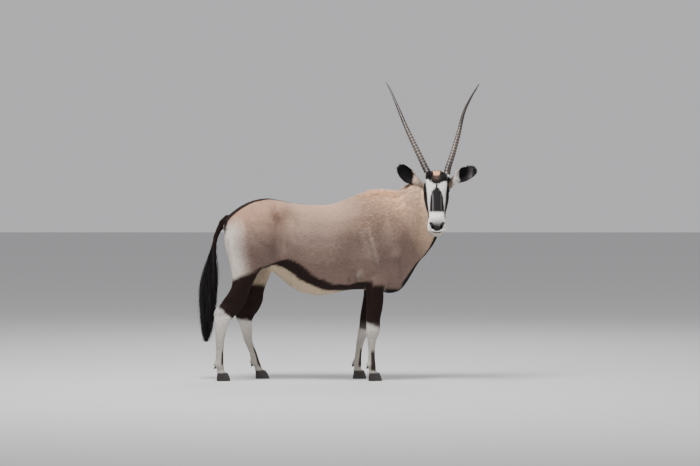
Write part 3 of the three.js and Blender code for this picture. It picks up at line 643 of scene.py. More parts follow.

# %% [markdown]
# ## Markings
# A gemsbok is fawn-grey with black and white signs: a white face with a black mask, a black line down
# the throat, a black band along the flank, dark thighs and forearms over white legs. Each sign is a
# function of place, so the skin and the tufts over it ask the same function and always agree. Painted
# shade darkens the coat at five named places and along the haunch, where shadow falls, and some other
# colours carry painted light or shade too, each said where it is laid.

# %% Palette
PALETTE = {
    "fawn": "#AC8D78", "grey_flank_and_shade": "#7B665C", "croup": "#A8846E", "buttock": "#E8DCCF",
    "crest": "#EBB68D", "crest_dark": "#9A745C", "neck_front_highlight": "#D9B79B", "shade": "#57463F",
    "groin_shade": "#A89783", "belly_with_warm_bounce": "#C3AE93", "dark": "#1E0F0A", "black": "#0B0809", "white": "#DCD8D2",
    "leg_white": "#C9C3BA", "leg_grey": "#9D958B", "muzzle": "#F6F3EC", "blaze": "#1B1819",
    "nose_grey": "#8F8A88", "nose_dusk": "#4A4646", "chin_shade": "#8A7A6A", "poll": "#5E4A40",
    "ear_hair_and_shade": "#0B0809", "ear_back": "#B99C86", "ear_stalk": "#806E62", "ear_pale": "#DCD6CE",
}
PALETTE = {name: np.array(linear(colour)) for name, colour in PALETTE.items()}


def edge(value, soft):
    return np.clip(value / soft + 0.5, 0, 1)


def along_line(place, line):
    at, height = zip(*line)
    return np.interp(place, at, height)


def lay(base, *layers):
    for colour, amount in layers:
        base = base + (PALETTE[colour] - base) * np.clip(amount, 0, 1)[:, None]
    return base


def all_over(colour, p):
    return np.tile(PALETTE[colour], (len(p), 1))


# %% Signs of the body
STRIPE_TOP = [(-0.52, 0.706), (-0.47, 0.722), (-0.43, 0.738), (-0.384, 0.757), (-0.32, 0.769),
              (-0.29, 0.76), (-0.258, 0.741), (-0.195, 0.691), (-0.133, 0.647), (-0.038, 0.609),
              (0.056, 0.603), (0.106, 0.62), (0.2, 0.63)]
STRIPE_LOW = [(-0.52, 0.690), (-0.47, 0.708), (-0.43, 0.725), (-0.40, 0.728), (-0.352, 0.71),
              (-0.321, 0.691), (-0.258, 0.641), (-0.195, 0.609), (-0.133, 0.581), (-0.07, 0.565),
              (0.056, 0.563), (0.2, 0.57)]
REAR_LINE = [(0.496, -0.754), (0.546, -0.717), (0.603, -0.692), (0.653, -0.679), (0.71, -0.698),
             (0.779, -0.71), (0.816, -0.723), (0.86, -0.7355), (0.911, -0.742), (0.955, -0.7355),
             (1.0, -0.74)]
DORSAL_WIDTH = [(-0.76, 0.075), (-0.7, 0.075), (-0.6, 0.07), (-0.5, 0.055), (-0.42, 0.034),
                (-0.3, 0.016), (-0.15, 0.009), (-0.02, 0.003)]
THROAT_FACING = unit(np.array([0.82, -0.3, -0.48]))
# Painted shade: at these places the coat is darkened to stand for shadow in hollows and on muscles turned
# from the light.
PAINTED_SHADE_PLACES = {
    "hollow before the hip": (0.38, (-0.335, 0.05), (1.05, 0.075)),
    "behind the shoulder": (0.62, (0.09, 0.06), (0.84, 0.14)),
    "thigh": (0.4, (-0.46, 0.09), (0.93, 0.16)),
    "shoulder blade": (0.3, (0.28, 0.09), (0.9, 0.12)),
    "stifle": (0.25, (-0.5, 0.08), (0.77, 0.08)),
}


def body_colour(p, n, wander):
    x, y, z = p.T
    side = np.abs(y - MIDDLE)
    inward = -n[:, 1] * np.sign(y - MIDDLE)
    high = z + wander
    streaks = np.sin(210 * x + 40 * z + 9 * np.sin(23 * z)) * np.sin(77 * x - 31 * z)
    from_rear = x - along_line(z, REAR_LINE)
    # painted shade along the edge of the haunch
    haunch = np.exp(-((x + 0.385) / 0.06) ** 4 - ((z - 0.89) / 0.15) ** 4)
    painted_shade = 0.2 * haunch + sum(share * bell(x, *across) * bell(z, *up)
                               for share, across, up in PAINTED_SHADE_PLACES.values())
    # painted highlight: a pale line along the rear edge of the triceps, where light catches the ridge
    painted_highlight_edge = bell(to_segment(x, z, SHOULDER_EDGE), 0, 0.008) * (side > 0.08)
    elbow = bell(x, 0.118, 0.016) * bell(z, 0.672, 0.026) * (side > 0.06)
    top = along_line(x, STRIPE_TOP)
    low = along_line(x, STRIPE_LOW)
    stripe = edge(top - z + wander * 0.3, 0.012) * edge(z - low - wander * 0.3, 0.012)
    dorsal = edge(along_line(x, DORSAL_WIDTH) - side + 0.2 * wander, 0.012) * edge(n[:, 2] + 0.1, 0.3)
    throat = edge(n @ THROAT_FACING - 0.965 + 0.08 * edge(z - 0.87, 0.05), 0.02)
    return lay(
        # grey coat of the flank, darkened past its own tone by painted shade of the side turned from the
        # light
        all_over("grey_flank_and_shade", p),
        ("fawn", edge(high - 0.99, 0.2)),
        ("croup", edge(-0.36 - x + wander, 0.16) * edge(z - 0.99, 0.14)),
        ("crest", edge(x - 0.06, 0.2) * edge(high - 1.07 - 0.1 * edge(0.3 - x, 0.3), 0.12)),
        ("crest_dark", 0.45 * edge(streaks - 0.35, 0.5) * edge(x - 0.12, 0.1) * edge(z - 1.0, 0.14)),
        # painted highlight on the front of the neck, where the light falls
        ("neck_front_highlight", 0.8 * edge(x + 0.35 * (z - 1.0) - 0.45, 0.1) * edge(z - 0.8, 0.2)),
        ("buttock", edge(0.085 - from_rear + wander, 0.14) * edge(0.985 - z, 0.1)),
        # inner faces of the thighs: pale coat darkened by painted shade between the legs
        ("groin_shade", edge(inward - 0.35, 0.3) * edge(0.8 - z, 0.1) * edge(-0.33 - x, 0.06)),
        # painted shade at the named places and along the haunch
        ("shade", painted_shade),
        # painted highlight along the rear edge of the triceps, and a paler spot on the elbow
        ("buttock", 0.1 * painted_highlight_edge + 0.25 * elbow),
        # pale belly, tinted yellow and darkened by painted warm light bounced from the ground and by painted
        # shade
        ("belly_with_warm_bounce", edge(low - z + 0.01, 0.02) * edge(0.22 - x, 0.05) * edge(x + 0.46, 0.04)),
        ("dark", stripe * edge(0.2 - x, 0.02) * edge(x + 0.52, 0.02)),
        ("dark", dorsal * edge(-0.02 - x, 0.06) * edge(z - 0.93, 0.05)),
        ("black", throat * edge(x - 0.33, 0.03)),
        ("black", edge(0.58 - z, 0.02) * edge(x - 0.285, 0.02) * edge(-n[:, 2] - 0.3, 0.3)),
    )


# %% Signs of the legs
LEG_SIGNS = {
    "hind_right": {"top": 0.672, "lean": 0.36, "low": 0.40, "slope": -0.9, "middle": -0.69,
                   "stripe": (0.10, 0.19), "facing": 0.4},
    "hind_left": {"top": 0.60, "lean": 0.0, "low": 0.365, "slope": -0.1, "middle": -0.57,
                  "stripe": (0.075, 0.195), "facing": 0.4},
    "fore_right": {"top": 0.6, "lean": 0.0, "low": 0.348, "slope": -0.35, "middle": 0.2,
                   "stripe": (0.063, 0.19), "front_from": 0.187},
    "fore_left": {"top": 0.6, "lean": 0.0, "low": 0.314, "slope": -0.2, "middle": 0.15,
                  "stripe": (0.075, 0.19), "facing": 0.3},
}


def leg_colour(p, n, wander, name):
    x, y, z = p.T
    signs = LEG_SIGNS[name]
    top = signs["top"] + signs["lean"] * (x + 0.597)
    low = signs["low"] + signs["slope"] * (x - signs["middle"])
    foot, knee = signs["stripe"]
    if "front_from" in signs:
        front = edge(x - signs["front_from"], 0.008)
    else:
        front = edge(n[:, 0] - signs["facing"], 0.25)
    return lay(
        body_colour(p, n, wander),
        ("dark", edge(top - z + wander, 0.03 if "hind" in name else 0.02)),
        ("leg_white", edge(low - z + 0.6 * wander, 0.018)),
        ("leg_grey", 0.8 * edge(0.3 - z, 0.14)),
        ("dark", 0.95 * front * edge(z - foot, 0.02) * edge(knee - z, 0.02)),
    )


# %% Signs of the head
PATCH_WIDTH = [(1.232, -0.004), (1.236, 0.018), (1.25, 0.045), (1.281, 0.06), (1.31, 0.064)]
BLAZE_WIDTH = [(1.06, 0.045), (1.10, 0.043), (1.13, 0.041), (1.164, 0.037), (1.188, 0.029),
               (1.204, 0.016), (1.217, 0.005), (1.235, 0.004)]
STRIPE_INNER = [(1.008, 0.054), (1.03, 0.048), (1.06, 0.0475), (1.13, 0.056), (1.18, 0.06), (1.25, 0.066)]
STRIPE_BACK = [(0.0, -0.085), (0.1, -0.085), (0.2, -0.09), (0.28, -0.085), (0.33, -0.07)]
STRIPE_END = [(-0.09, 1.06), (-0.05, 1.012), (0.0, 1.008)]


def nose_area(p):
    side, _, out = head_place(p)
    z = p[:, 2]
    wide = 0.050 - 0.8 * np.maximum(0.99 - z, 0)
    top = 0.980 + 0.022 * np.minimum(np.abs(side) / 0.036, 1.0) ** 2
    pad = edge(wide - np.abs(side), 0.006) * edge(z - 0.945, 0.006) * edge(top - z, 0.01)
    return pad * (out > -0.03)


def face_colour(p, n, wander):
    s, down, out = head_place(p)
    z = p[:, 2]
    side = np.abs(s)
    w = wander * 0.15
    front = out > -0.06
    patch = edge(along_line(z, PATCH_WIDTH) - side + w, 0.006)
    off_horn = np.min([np.linalg.norm(p - base, axis=1) for base in HORN_BASES], axis=0)
    blaze = along_line(z, BLAZE_WIDTH)
    rim = edge(side + 0.014 - blaze, 0.008) * edge(blaze - side, 0.006) * edge(z - 1.066, 0.008)
    pale_streak = bell(s, -0.024, 0.0035) + 0.4 * bell(s, 0.027, 0.0035)
    stripe = edge(side - along_line(z, STRIPE_INNER) + w, 0.006) * edge(down - 0.015, 0.01)
    stripe *= edge(out - along_line(down, STRIPE_BACK), 0.01) * edge(z - along_line(out, STRIPE_END), 0.012)
    grey = edge(z - 0.96, 0.02) * np.clip((1.04 - z) / 0.05, 0, 1) * edge(0.042 - side, 0.02)
    off_nostril = to_segment(side, z, NOSTRIL)
    under_lip = mouth_height(side) - z
    # painted shade under the lower lip, where the chin lies in the lip's shadow
    chin_shade = edge(under_lip, 0.006) * edge(-n[:, 1] + 0.1, 0.3) * (down > 0.3)
    lips_and_mouth_shade = edge(0.0028 - np.abs(under_lip), 0.002) * edge(-n[:, 1] - 0.15, 0.2) * edge(0.03 - side, 0.012)
    corner = edge(0.0026 - np.abs(out + 0.066), 0.002) * edge(down - 0.315, 0.02) * edge(side - 0.03, 0.01)
    return lay(
        all_over("white", p),
        ("fawn", edge(-0.075 - out + 0.1 * down, 0.03) * edge(0.14 - down, 0.06)),
        ("black", patch * edge(z - 1.235, 0.008) * (out > -0.09)),
        ("black", edge(0.037 - off_horn + w, 0.006) * edge(z - 1.25, 0.01) * edge(0.07 - side, 0.012)),
        ("poll", 0.6 * edge(0.02 - side, 0.026) * edge(z - 1.262, 0.016) * edge(1.31 - z, 0.02)),
        ("poll", 0.8 * edge(z - 1.304, 0.012) * edge(0.03 - side, 0.02)),
        ("crest", edge(0.016 - side, 0.01) * edge(z - 1.289, 0.008) * edge(1.309 - z, 0.01)),
        ("blaze", edge(blaze - side + w, 0.006) * edge(z - 1.062, 0.008) * edge(1.24 - z, 0.004) * front),
        ("black", 0.85 * rim * edge(1.235 - z, 0.004) * front),
        ("muzzle", edge(1.055 - z, 0.02)),
        ("nose_grey", 0.5 * pale_streak * edge(z - 1.07, 0.01) * edge(1.18 - z, 0.03) * front),
        ("black", stripe),
        ("nose_dusk", 0.95 * grey * (out > -0.07)),
        ("black", nose_area(p)),
        ("black", edge(0.0085 - off_nostril, 0.003) * (out > -0.05)),
        # painted shade under the lower lip, over the chin's pale coat
        ("chin_shade", 0.7 * chin_shade),
        # black lip skin along the mouth, with painted shade of the gap between the lips
        ("black", lips_and_mouth_shade),
        # the same line of lip skin and painted shade where the mouth runs back along the jaw
        ("black", corner),
    )


def ear_colour(p, n):
    out = np.abs(p[:, 0] - FOREHEAD[0])
    left = p[:, 0] > FOREHEAD[0]
    front = edge(-n[:, 1] - 0.1, 0.3)
    upper_rim = edge(n[:, 2] - 0.45, 0.3) * edge(out - 0.15, 0.02) * edge(p[:, 2] - 1.315, 0.006)
    return lay(
        all_over("ear_back", p),
        ("ear_stalk", edge(0.115 - out, 0.02)),
        ("ear_pale", np.where(left, 1.0, 0.15) * front * edge(0.025 - np.abs(out - 0.125), 0.01)),
        # inside of the ear cup: dark hair with painted shade in the hollow of the cup
        ("ear_hair_and_shade", front * edge(out - 0.142, 0.01)),
        ("nose_grey", 0.3 * edge(out - 0.205, 0.03) * left),
        ("ear_pale", 0.85 * upper_rim * left),
        ("black", edge(out - 0.226, 0.01)),
    )


# %% One function that colours any place on the body
WAVES = [(31, 17, 23, 0.5), (57, 71, 43, 0.3), (131, 97, 149, 0.2)]
WANDER = 0.02


def wander_of(p):
    waves = np.zeros(len(p))
    for turn, (fx, fy, fz, high) in enumerate(WAVES):
        waves += high * np.sin(fx * p[:, 0] + turn) * np.sin(fy * p[:, 1] + 2 * turn) * np.cos(fz * p[:, 2])
    return waves * WANDER


def coat_colour(p, n, part):
    wander = wander_of(p)
    colour = np.empty((len(p), 3))
    for index, name in enumerate(PARTS):
        own = part == index
        if not own.any():
            continue
        if name == "head":
            colour[own] = face_colour(p[own], n[own], wander[own])
        elif "ear" in name:
            colour[own] = ear_colour(p[own], n[own])
        elif "leg" in name:
            colour[own] = leg_colour(p[own], n[own], wander[own], name.rsplit("_", 2)[0])
        elif name == "tail":
            colour[own] = PALETTE["dark"]
        else:
            colour[own] = body_colour(p[own], n[own], wander[own])
    return colour


skin_colour = coat_colour(skin_points, skin_normals, skin_part)
lid_edge = (lid_ring >= 0) & (lid_ring < BARE_LID_RINGS)
skin_colour[lid_edge] = PALETTE["black"]
paint(skin, "Coat colour", skin_colour)
nose_pad = nose_area(skin_points) > 0.5
bare = nose_pad | lid_edge
skin_side, skin_down, _ = head_place(skin_points)
off_lips = np.abs(skin_points[:, 2] - mouth_height(np.abs(skin_side)))
mouth = (off_lips < 0.007) & (np.abs(skin_side) < MOUTH_HALF)
mouth &= (skin_down > 0.3) & (skin_normals[:, 1] < -0.1) & (skin_part == PARTS.index("head"))
hairless = nose_pad | mouth | (lid_ring >= 0)
print("bare skin:", bare.sum(), "points")

# %% [markdown]
# ## Hair materials
# Skin under hair is soft and hardly shines. Hair is a smooth, clear fibre of index about 1.5, so
# single tufts catch a faint gloss along their length. Both take their colour from the markings.

# %% Skin and hair
def hair_material(name, roughness, bump, sheen):
    material, tree, output = new_material(name)
    stretch = add_node(tree, "ShaderNodeMapping", {"Scale": (55, 260, 120)}, {"Vector": object_place(tree)})
    streaks = add_node(tree, "ShaderNodeTexNoise", {"Scale": 1.0, "Detail": 5.0},
                       {"Vector": stretch.outputs["Vector"]})
    shade = add_node(tree, "ShaderNodeMapRange",
                     {"From Min": 0.3, "From Max": 0.7, "To Min": 0.8, "To Max": 1.12},
                     {"Value": streaks.outputs["Fac"]})
    mixed = add_node(tree, "ShaderNodeMix", {"data_type": "RGBA", "blend_type": "MULTIPLY", 0: 1.0},
                     {6: coat_attribute(tree), 7: shade.outputs["Result"]})
    shade_with(tree, output,
               {"Roughness": roughness, "IOR": 1.5, "Specular IOR Level": 0.18, "Sheen Weight": sheen},
               {"Base Color": mixed.outputs[2], "Normal": bumped(tree, streaks.outputs["Fac"], bump, 0.003)})
    return material


skin_material = hair_material("haired_skin", 0.8, 0.6, 0.0)
coat_material = hair_material("short_hair", 0.62, 0.15, 0.03)
skin.data.materials.clear()
skin.data.materials.append(skin_material)

# %% [markdown]
# The pad of the nose and the edges of the lids have no hair. They are black, moist, finely pebbled
# leather, with grains about 1.5 mm wide that glisten. They are faces of the same skin. The line of the
# mouth has no tufts either, so that it stays open.

# %% Leather of the nose and lids
GRAIN = 0.0015
leather_material, tree, output = new_material("moist_leather")
grains = add_node(tree, "ShaderNodeTexVoronoi", {"Scale": 1 / GRAIN}, {"Vector": object_place(tree)})
shade_with(tree, output, {"Roughness": 0.38, "IOR": 1.42},
           {"Base Color": coat_attribute(tree),
            "Normal": bumped(tree, grains.outputs["Distance"], 0.5, 0.0005)})
skin.data.materials.append(leather_material)
skin.data.polygons.foreach_set("material_index", bare[skin_faces].all(axis=1).astype(np.int32))
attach(skin, "root")
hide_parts(*FLESH)
print("skin replaces", len(FLESH), "nodes")

# %% [markdown]
# ## Lie of the coat
# Hair lies back along the barrel, down the legs, back and down the neck, and up the face from the
# nose. A few places each give a direction, and a tuft takes the mean of those near it, turned
# into the plane of the skin.

# %% Directions by place
LIE = [
    ((-0.55, -0.2, 0.9), (-0.75, 0, -0.65), 0.22), ((-0.55, 0.15, 0.9), (-0.75, 0, -0.65), 0.22),
    ((-0.2, -0.2, 0.85), (-1, 0, -0.25), 0.3), ((-0.2, 0.2, 0.85), (-1, 0, -0.25), 0.3),
    ((0.1, -0.2, 0.85), (-0.8, 0, -0.6), 0.25), ((0.1, 0.2, 0.85), (-0.8, 0, -0.6), 0.25),
    ((0.4, -0.1, 1.05), (-0.75, 0, -0.65), 0.2), ((0.3, -0.1, 0.75), (-0.3, 0, -0.95), 0.15),
    ((-0.1, 0, 0.53), (-1, 0, 0), 0.25), ((-0.5, 0, 1.13), (-1, 0, 0), 0.2), ((0, 0, 1.15), (-1, 0, 0), 0.2),
]


def lie_of(p, n, part):
    total = np.zeros_like(p)
    for place, direction, reach in LIE:
        near = np.exp(-((p - place) ** 2).sum(axis=1) / (2 * reach ** 2)) + 1e-6
        total += near[:, None] * np.array(direction)
    names = np.array(PARTS)[part]
    leg = np.array(["leg" in name for name in PARTS])[part]
    down = np.clip((0.75 - p[:, 2]) / 0.2, 0, 1)
    hanging = total * (1 - down[:, None]) + np.array([-0.12, 0, -1]) * down[:, None]
    total = np.where(leg[:, None], hanging, total)
    total[names == "head"] = -ALONG
    total[names == "tail"] = (-0.2, 0, -1)
    ear = np.char.startswith(names, "ear")
    outward = np.sign(p[ear, 0] - FOREHEAD[0])
    total[ear] = np.column_stack([outward, np.zeros(ear.sum()), np.full(ear.sum(), 0.7)])
    total -= n * (total * n).sum(axis=1)[:, None]
    return total / np.maximum(np.linalg.norm(total, axis=1), 1e-9)[:, None]


# %% Roots spread over the skin
def roots_on(mask, count, seed):
    chance = np.random.default_rng(seed)
    faces = skin_faces[mask[skin_faces].all(axis=1)]
    a, b, c = (skin_points[faces[:, k]] for k in range(3))
    area = np.linalg.norm(np.cross(b - a, c - a), axis=1)
    pick = chance.choice(len(faces), count, p=area / area.sum())
    u, v = chance.random(count), chance.random(count)
    flip = u + v > 1
    u[flip], v[flip] = 1 - u[flip], 1 - v[flip]
    share = np.column_stack([1 - u - v, u, v])
    corner = faces[pick]
    place = (skin_points[corner] * share[:, :, None]).sum(axis=1)
    normal = (skin_normals[corner] * share[:, :, None]).sum(axis=1)
    normal /= np.linalg.norm(normal, axis=1)[:, None]
    part = skin_part[corner[:, 0]]
    return place, normal, part, area.sum() / 2


# %% [markdown]
# ## Tufts
# One tuft is a thin closed blade: a low ridge of three corners at each ring and one point at the tip.
# Short hair needs one ring, so a tuft is four triangles. Longer hair has more rings and bends.

# %% Tuft builder
RIDGE = 0.5


def tufts(place, normal, lie, length, width, rise, rings=1, droop=0.0, sink=0.0012):
    count = len(place)
    beside = np.cross(normal, lie)
    points = np.empty((count, rings * 3 + 1, 3))
    for ring in range(rings + 1):
        u = ring / rings
        middle = (place - normal * sink + lie * (length * u)[:, None]
                  + normal * (length * (rise * u - droop * u * u))[:, None])
        if ring == rings:
            points[:, -1] = middle
            break
        half = (width * (1 - 0.75 * u) / 2)[:, None]
        points[:, ring * 3] = middle + beside * half
        points[:, ring * 3 + 1] = middle - beside * half
        points[:, ring * 3 + 2] = middle + normal * half * RIDGE
    faces = [[0, 1, 2]]
    for ring in range(rings - 1):
        a = ring * 3
        for i, j in ((1, 0), (2, 1), (0, 2)):
            faces += [[a + i, a + j, a + 3 + j], [a + i, a + 3 + j, a + 3 + i]]
    a, tip = (rings - 1) * 3, rings * 3
    faces += [[a + 1, a, tip], [a + 2, a + 1, tip], [a, a + 2, tip]]
    faces = np.array(faces)[None] + (np.arange(count) * (rings * 3 + 1))[:, None, None]
    return points, faces.reshape(-1, 3)


# %% [markdown]
# A sleek coat shines as the body under it does, not as thousands of separate blades. So each tuft
# carries the skin's own direction for its shading, turned a little at random, which keeps the form of
# the muscles readable and still lets single tufts catch the light.

# %% Shading direction of a tuft
def sheen_direction(normal, lie, spread, chance):
    beside = np.cross(normal, lie)
    turned = (normal + beside * chance.normal(0, spread, len(normal))[:, None]
              + lie * chance.normal(0.1, spread, len(normal))[:, None])
    return turned / np.linalg.norm(turned, axis=1)[:, None]


# %% Unwrap of the skin for the baked colours
GROUP_AXES = {"torso": 0, "neck": 0, "head": 2, "tail": 2, "ear": 0, "leg": 2}
PATCH = 0.003


def unwrap(place, part):
    uv = np.zeros((len(place), 2))
    used = np.unique(part)
    cells = math.ceil(math.sqrt(len(used)))
    for cell, index in enumerate(used):
        own = part == index
        axis = next(value for key, value in GROUP_AXES.items() if key in PARTS[index])
        p = place[own]
        low, high = p.min(axis=0), p.max(axis=0)
        other = [k for k in range(3) if k != axis]
        off = (p - (low + high) / 2) / np.maximum(high - low, 1e-6)
        around = np.arctan2(off[:, other[0]], off[:, other[1]]) / (2 * math.pi) + 0.5
        far = off[:, axis] + 0.5
        corner = np.array([cell % cells, cell // cells])
        uv[own] = (corner + 0.02 + 0.96 * np.column_stack([around, far])) / cells
    return uv


def hair_piece(name, points, faces, colour, place, part, shading):
    count, corners = points.shape[:2]
    piece = mesh_piece(name, points.reshape(-1, 3), faces)
    piece.data.normals_split_custom_set_from_vertices(np.repeat(shading, corners, axis=0))
    paint(piece, "Coat colour", np.repeat(colour, corners, axis=0))
    uv = np.repeat(unwrap(place, part), corners, axis=0)
    turn = np.arange(corners) * 2.4
    uv = uv + np.tile(np.column_stack([np.cos(turn), np.sin(turn)]), (count, 1)) * PATCH / 2
    layer = piece.data.uv_layers.new(name="OFBake")
    layer.data.foreach_set("uv", uv[faces.ravel()].astype(np.float32).ravel())
    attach(piece, "root")
    return piece


# %% [markdown]
# ## Short coat
# The coat covers the body in tufts about 20 to 24 mm long that lie flat and overlap like tiles. It is
# shorter and finer on the head and the lower legs. On the neck and withers it is longer, stands a
# little and is flecked with dark tips. It is grown in several pieces, each of one region.

# %% Grow the coat by region
names_of_skin = np.array(PARTS)[skin_part]
is_torso = names_of_skin == "torso"
is_upper = np.char.find(names_of_skin, "upper") >= 0
is_lower = np.char.find(names_of_skin, "lower") >= 0
is_hind = np.char.find(names_of_skin, "hind") >= 0
x_of_skin = skin_points[:, 0]
REGIONS = {
    "coat_rump": (is_torso & (x_of_skin < -0.33), 38000, 0.022, 0.0052, "body_coat"),
    "coat_barrel": (is_torso & (x_of_skin >= -0.35) & (x_of_skin < 0.0), 42000, 0.024, 0.0055, "body_coat"),
    "coat_shoulder": (is_torso & (x_of_skin >= -0.02), 42000, 0.024, 0.0055, "body_coat"),
    "coat_neck": (names_of_skin == "neck", 34000, 0.024, 0.005, "body_coat"),
    "coat_hind_legs": (is_upper & is_hind, 36000, 0.02, 0.0054, "dark_coat"),
    "coat_fore_legs": (is_upper & ~is_hind, 24000, 0.016, 0.004, "dark_coat"),
    "coat_lower_legs": (is_lower, 36000, 0.011, 0.003, "leg_coat"),
    "coat_head": ((names_of_skin == "head") & ~hairless, 44000, 0.0065, 0.0021, "face_coat"),
    "coat_ears": (np.char.startswith(names_of_skin, "ear"), 9000, 0.012, 0.0022, "ear_coat"),
    "coat_dock": (names_of_skin == "tail", 5000, 0.02, 0.003, "tail_hair"),
}


def grow(name, region, seed):
    mask, count, length, width, slot = region
    chance = np.random.default_rng(seed)
    place, normal, part, area = roots_on(mask, count, seed)
    lie = lie_of(place, normal, part)
    beside = np.cross(normal, lie)
    lie = lie + beside * chance.normal(0, 0.16, count)[:, None]
    lie /= np.linalg.norm(lie, axis=1)[:, None]
    reach = length * chance.uniform(0.7, 1.25, count)
    wide = width * chance.uniform(0.7, 1.25, count)
    rough = edge(place[:, 0] - 0.1, 0.16) * edge(place[:, 2] - 0.93, 0.3) * (part != PARTS.index("head"))
    rise = chance.uniform(0.03, 0.12, count) + 0.16 * rough * chance.random(count)
    reach = reach * (1 + 0.45 * rough)
    points, faces = tufts(place, normal, lie, reach, wide, rise, droop=0.05)
    tone = 1 + (0.1 + 0.22 * rough) * chance.uniform(-1, 1, count)
    colour = coat_colour(place, normal, part) * tone[:, None]
    shading = sheen_direction(normal, lie, 0.14, chance)
    piece = hair_piece(name, points, faces, colour, place, part, shading)
    piece.data.materials.append(coat_material)
    print(name, count, "tufts on", round(area, 3), "m2,", len(faces), "triangles")
    return piece


for seed, (name, region) in enumerate(REGIONS.items(), start=100):
    grow(name, region, seed)

# %% [markdown]
# ## Mane
# A short mane stands along the crest from the withers to the poll. Each tuft has two rings, so that
# it stands at the root and bends back towards its tip.

# %% Grow the mane
MANE_TUFTS = 8600
crest = np.isin(names_of_skin, ["torso", "neck"]) & (x_of_skin > 0.02)
crest &= skin_points[:, 2] > np.interp(x_of_skin, *zip(*CREST_LINE)) - 0.034
place, normal, part, area = roots_on(crest, MANE_TUFTS, 7)
chance = np.random.default_rng(8)
lie = lie_of(place, normal, part) + 0.22 * chance.normal(0, 1, place.shape)
full = np.clip((place[:, 0] - 0.02) / 0.2, 0.25, 1)
length = 0.034 * full * chance.uniform(0.6, 1.25, MANE_TUFTS)
points, faces = tufts(place, normal, lie, length, 0.0036 * chance.uniform(0.6, 1.2, MANE_TUFTS),
                      chance.uniform(0.1, 0.42, MANE_TUFTS), rings=2, droop=0.2)
colour = coat_colour(place, normal, part) * chance.uniform(0.8, 1.45, MANE_TUFTS)[:, None]
mane = hair_piece("mane", points, faces, colour, place, part, sheen_direction(normal, lie, 0.25, chance))
mane.data.materials.append(coat_material)
print("mane:", len(faces), "triangles on", round(area, 3), "m2")

# %% [markdown]
# Between the horns stands a small tuft of bright hair, and the upper lids carry black lashes that
# curl up from their edge.

# %% Poll tuft and lashes
POLL_TUFTS = 350
poll = (names_of_skin == "head") & (np.abs(x_of_skin - FOREHEAD[0]) < 0.02) & (skin_points[:, 2] > 1.288)
poll &= (skin_points[:, 1] < -0.1) & (skin_points[:, 2] < 1.309)
place, normal, part, _ = roots_on(poll, POLL_TUFTS, 11)
chance = np.random.default_rng(12)
lie = lie_of(place, normal, part) + 0.3 * chance.normal(0, 1, place.shape)
points, faces = tufts(place, normal, lie, chance.uniform(0.008, 0.015, POLL_TUFTS),
                      chance.uniform(0.001, 0.002, POLL_TUFTS), chance.uniform(0.2, 0.7, POLL_TUFTS),
                      rings=2, droop=0.3)
colour = PALETTE["crest"] * chance.uniform(0.7, 1.3, POLL_TUFTS)[:, None]
tuft = hair_piece("poll_tuft", points, faces, colour, place, part, sheen_direction(normal, lie, 0.25, chance))
tuft.data.materials.append(coat_material)
LASHES = 64
roots, up, forward = [], [], []
for hand, side in HANDS:
    _, brow, outward = eye_axes(side)
    at = np.linspace(0.06, 0.44, LASHES) * LID_SIDES
    whole = at.astype(int)
    rest = (at - whole)[:, None]
    roots.append(lid_edges[hand][whole] * (1 - rest) + lid_edges[hand][whole + 1] * rest)
    up.append(np.tile(brow, (LASHES, 1)))
    forward.append(np.tile(outward, (LASHES, 1)))
roots, up, forward = (np.concatenate(rows) for rows in (roots, up, forward))
forward = forward + 0.12 * chance.normal(0, 1, forward.shape)
points, faces = tufts(roots, up, forward, chance.uniform(0.006, 0.010, len(roots)),
                      np.full(len(roots), 0.0007), 0.15, rings=3, droop=-0.35, sink=0.0)
lashes = hair_piece("lashes", points, faces, np.tile(PALETTE["black"], (len(roots), 1)), roots,
                    np.full(len(roots), PARTS.index("head")), forward)
lashes.data.materials.append(coat_material)
print("poll tuft:", POLL_TUFTS, "tufts, lashes:", len(roots))

# %% [markdown]
# ## Tail
# The tail ends in a long black brush. Its hairs are rooted all along the lower dock and hang to
# different heights, so the brush is full in the middle and thin at its tip.

# %% Grow the brush
BRUSH = [(0.87, -0.792, 0.016, 0.017), (0.81, -0.804, 0.024, 0.022), (0.76, -0.81, 0.031, 0.027),
         (0.691, -0.819, 0.042, 0.034), (0.622, -0.828, 0.05, 0.04), (0.553, -0.835, 0.05, 0.04),
         (0.49, -0.839, 0.046, 0.037), (0.43, -0.841, 0.04, 0.032), (0.37, -0.844, 0.034, 0.027),
         (0.31, -0.846, 0.027, 0.021), (0.262, -0.848, 0.017, 0.013), (0.236, -0.85, 0.004, 0.004)]
BRUSH_HAIRS = 4200
BRUSH_RINGS = 7


def brush_at(z):
    heights = [row[0] for row in BRUSH][::-1]
    return [np.interp(z, heights, [row[k] for row in BRUSH][::-1]) for k in (1, 2, 3)]


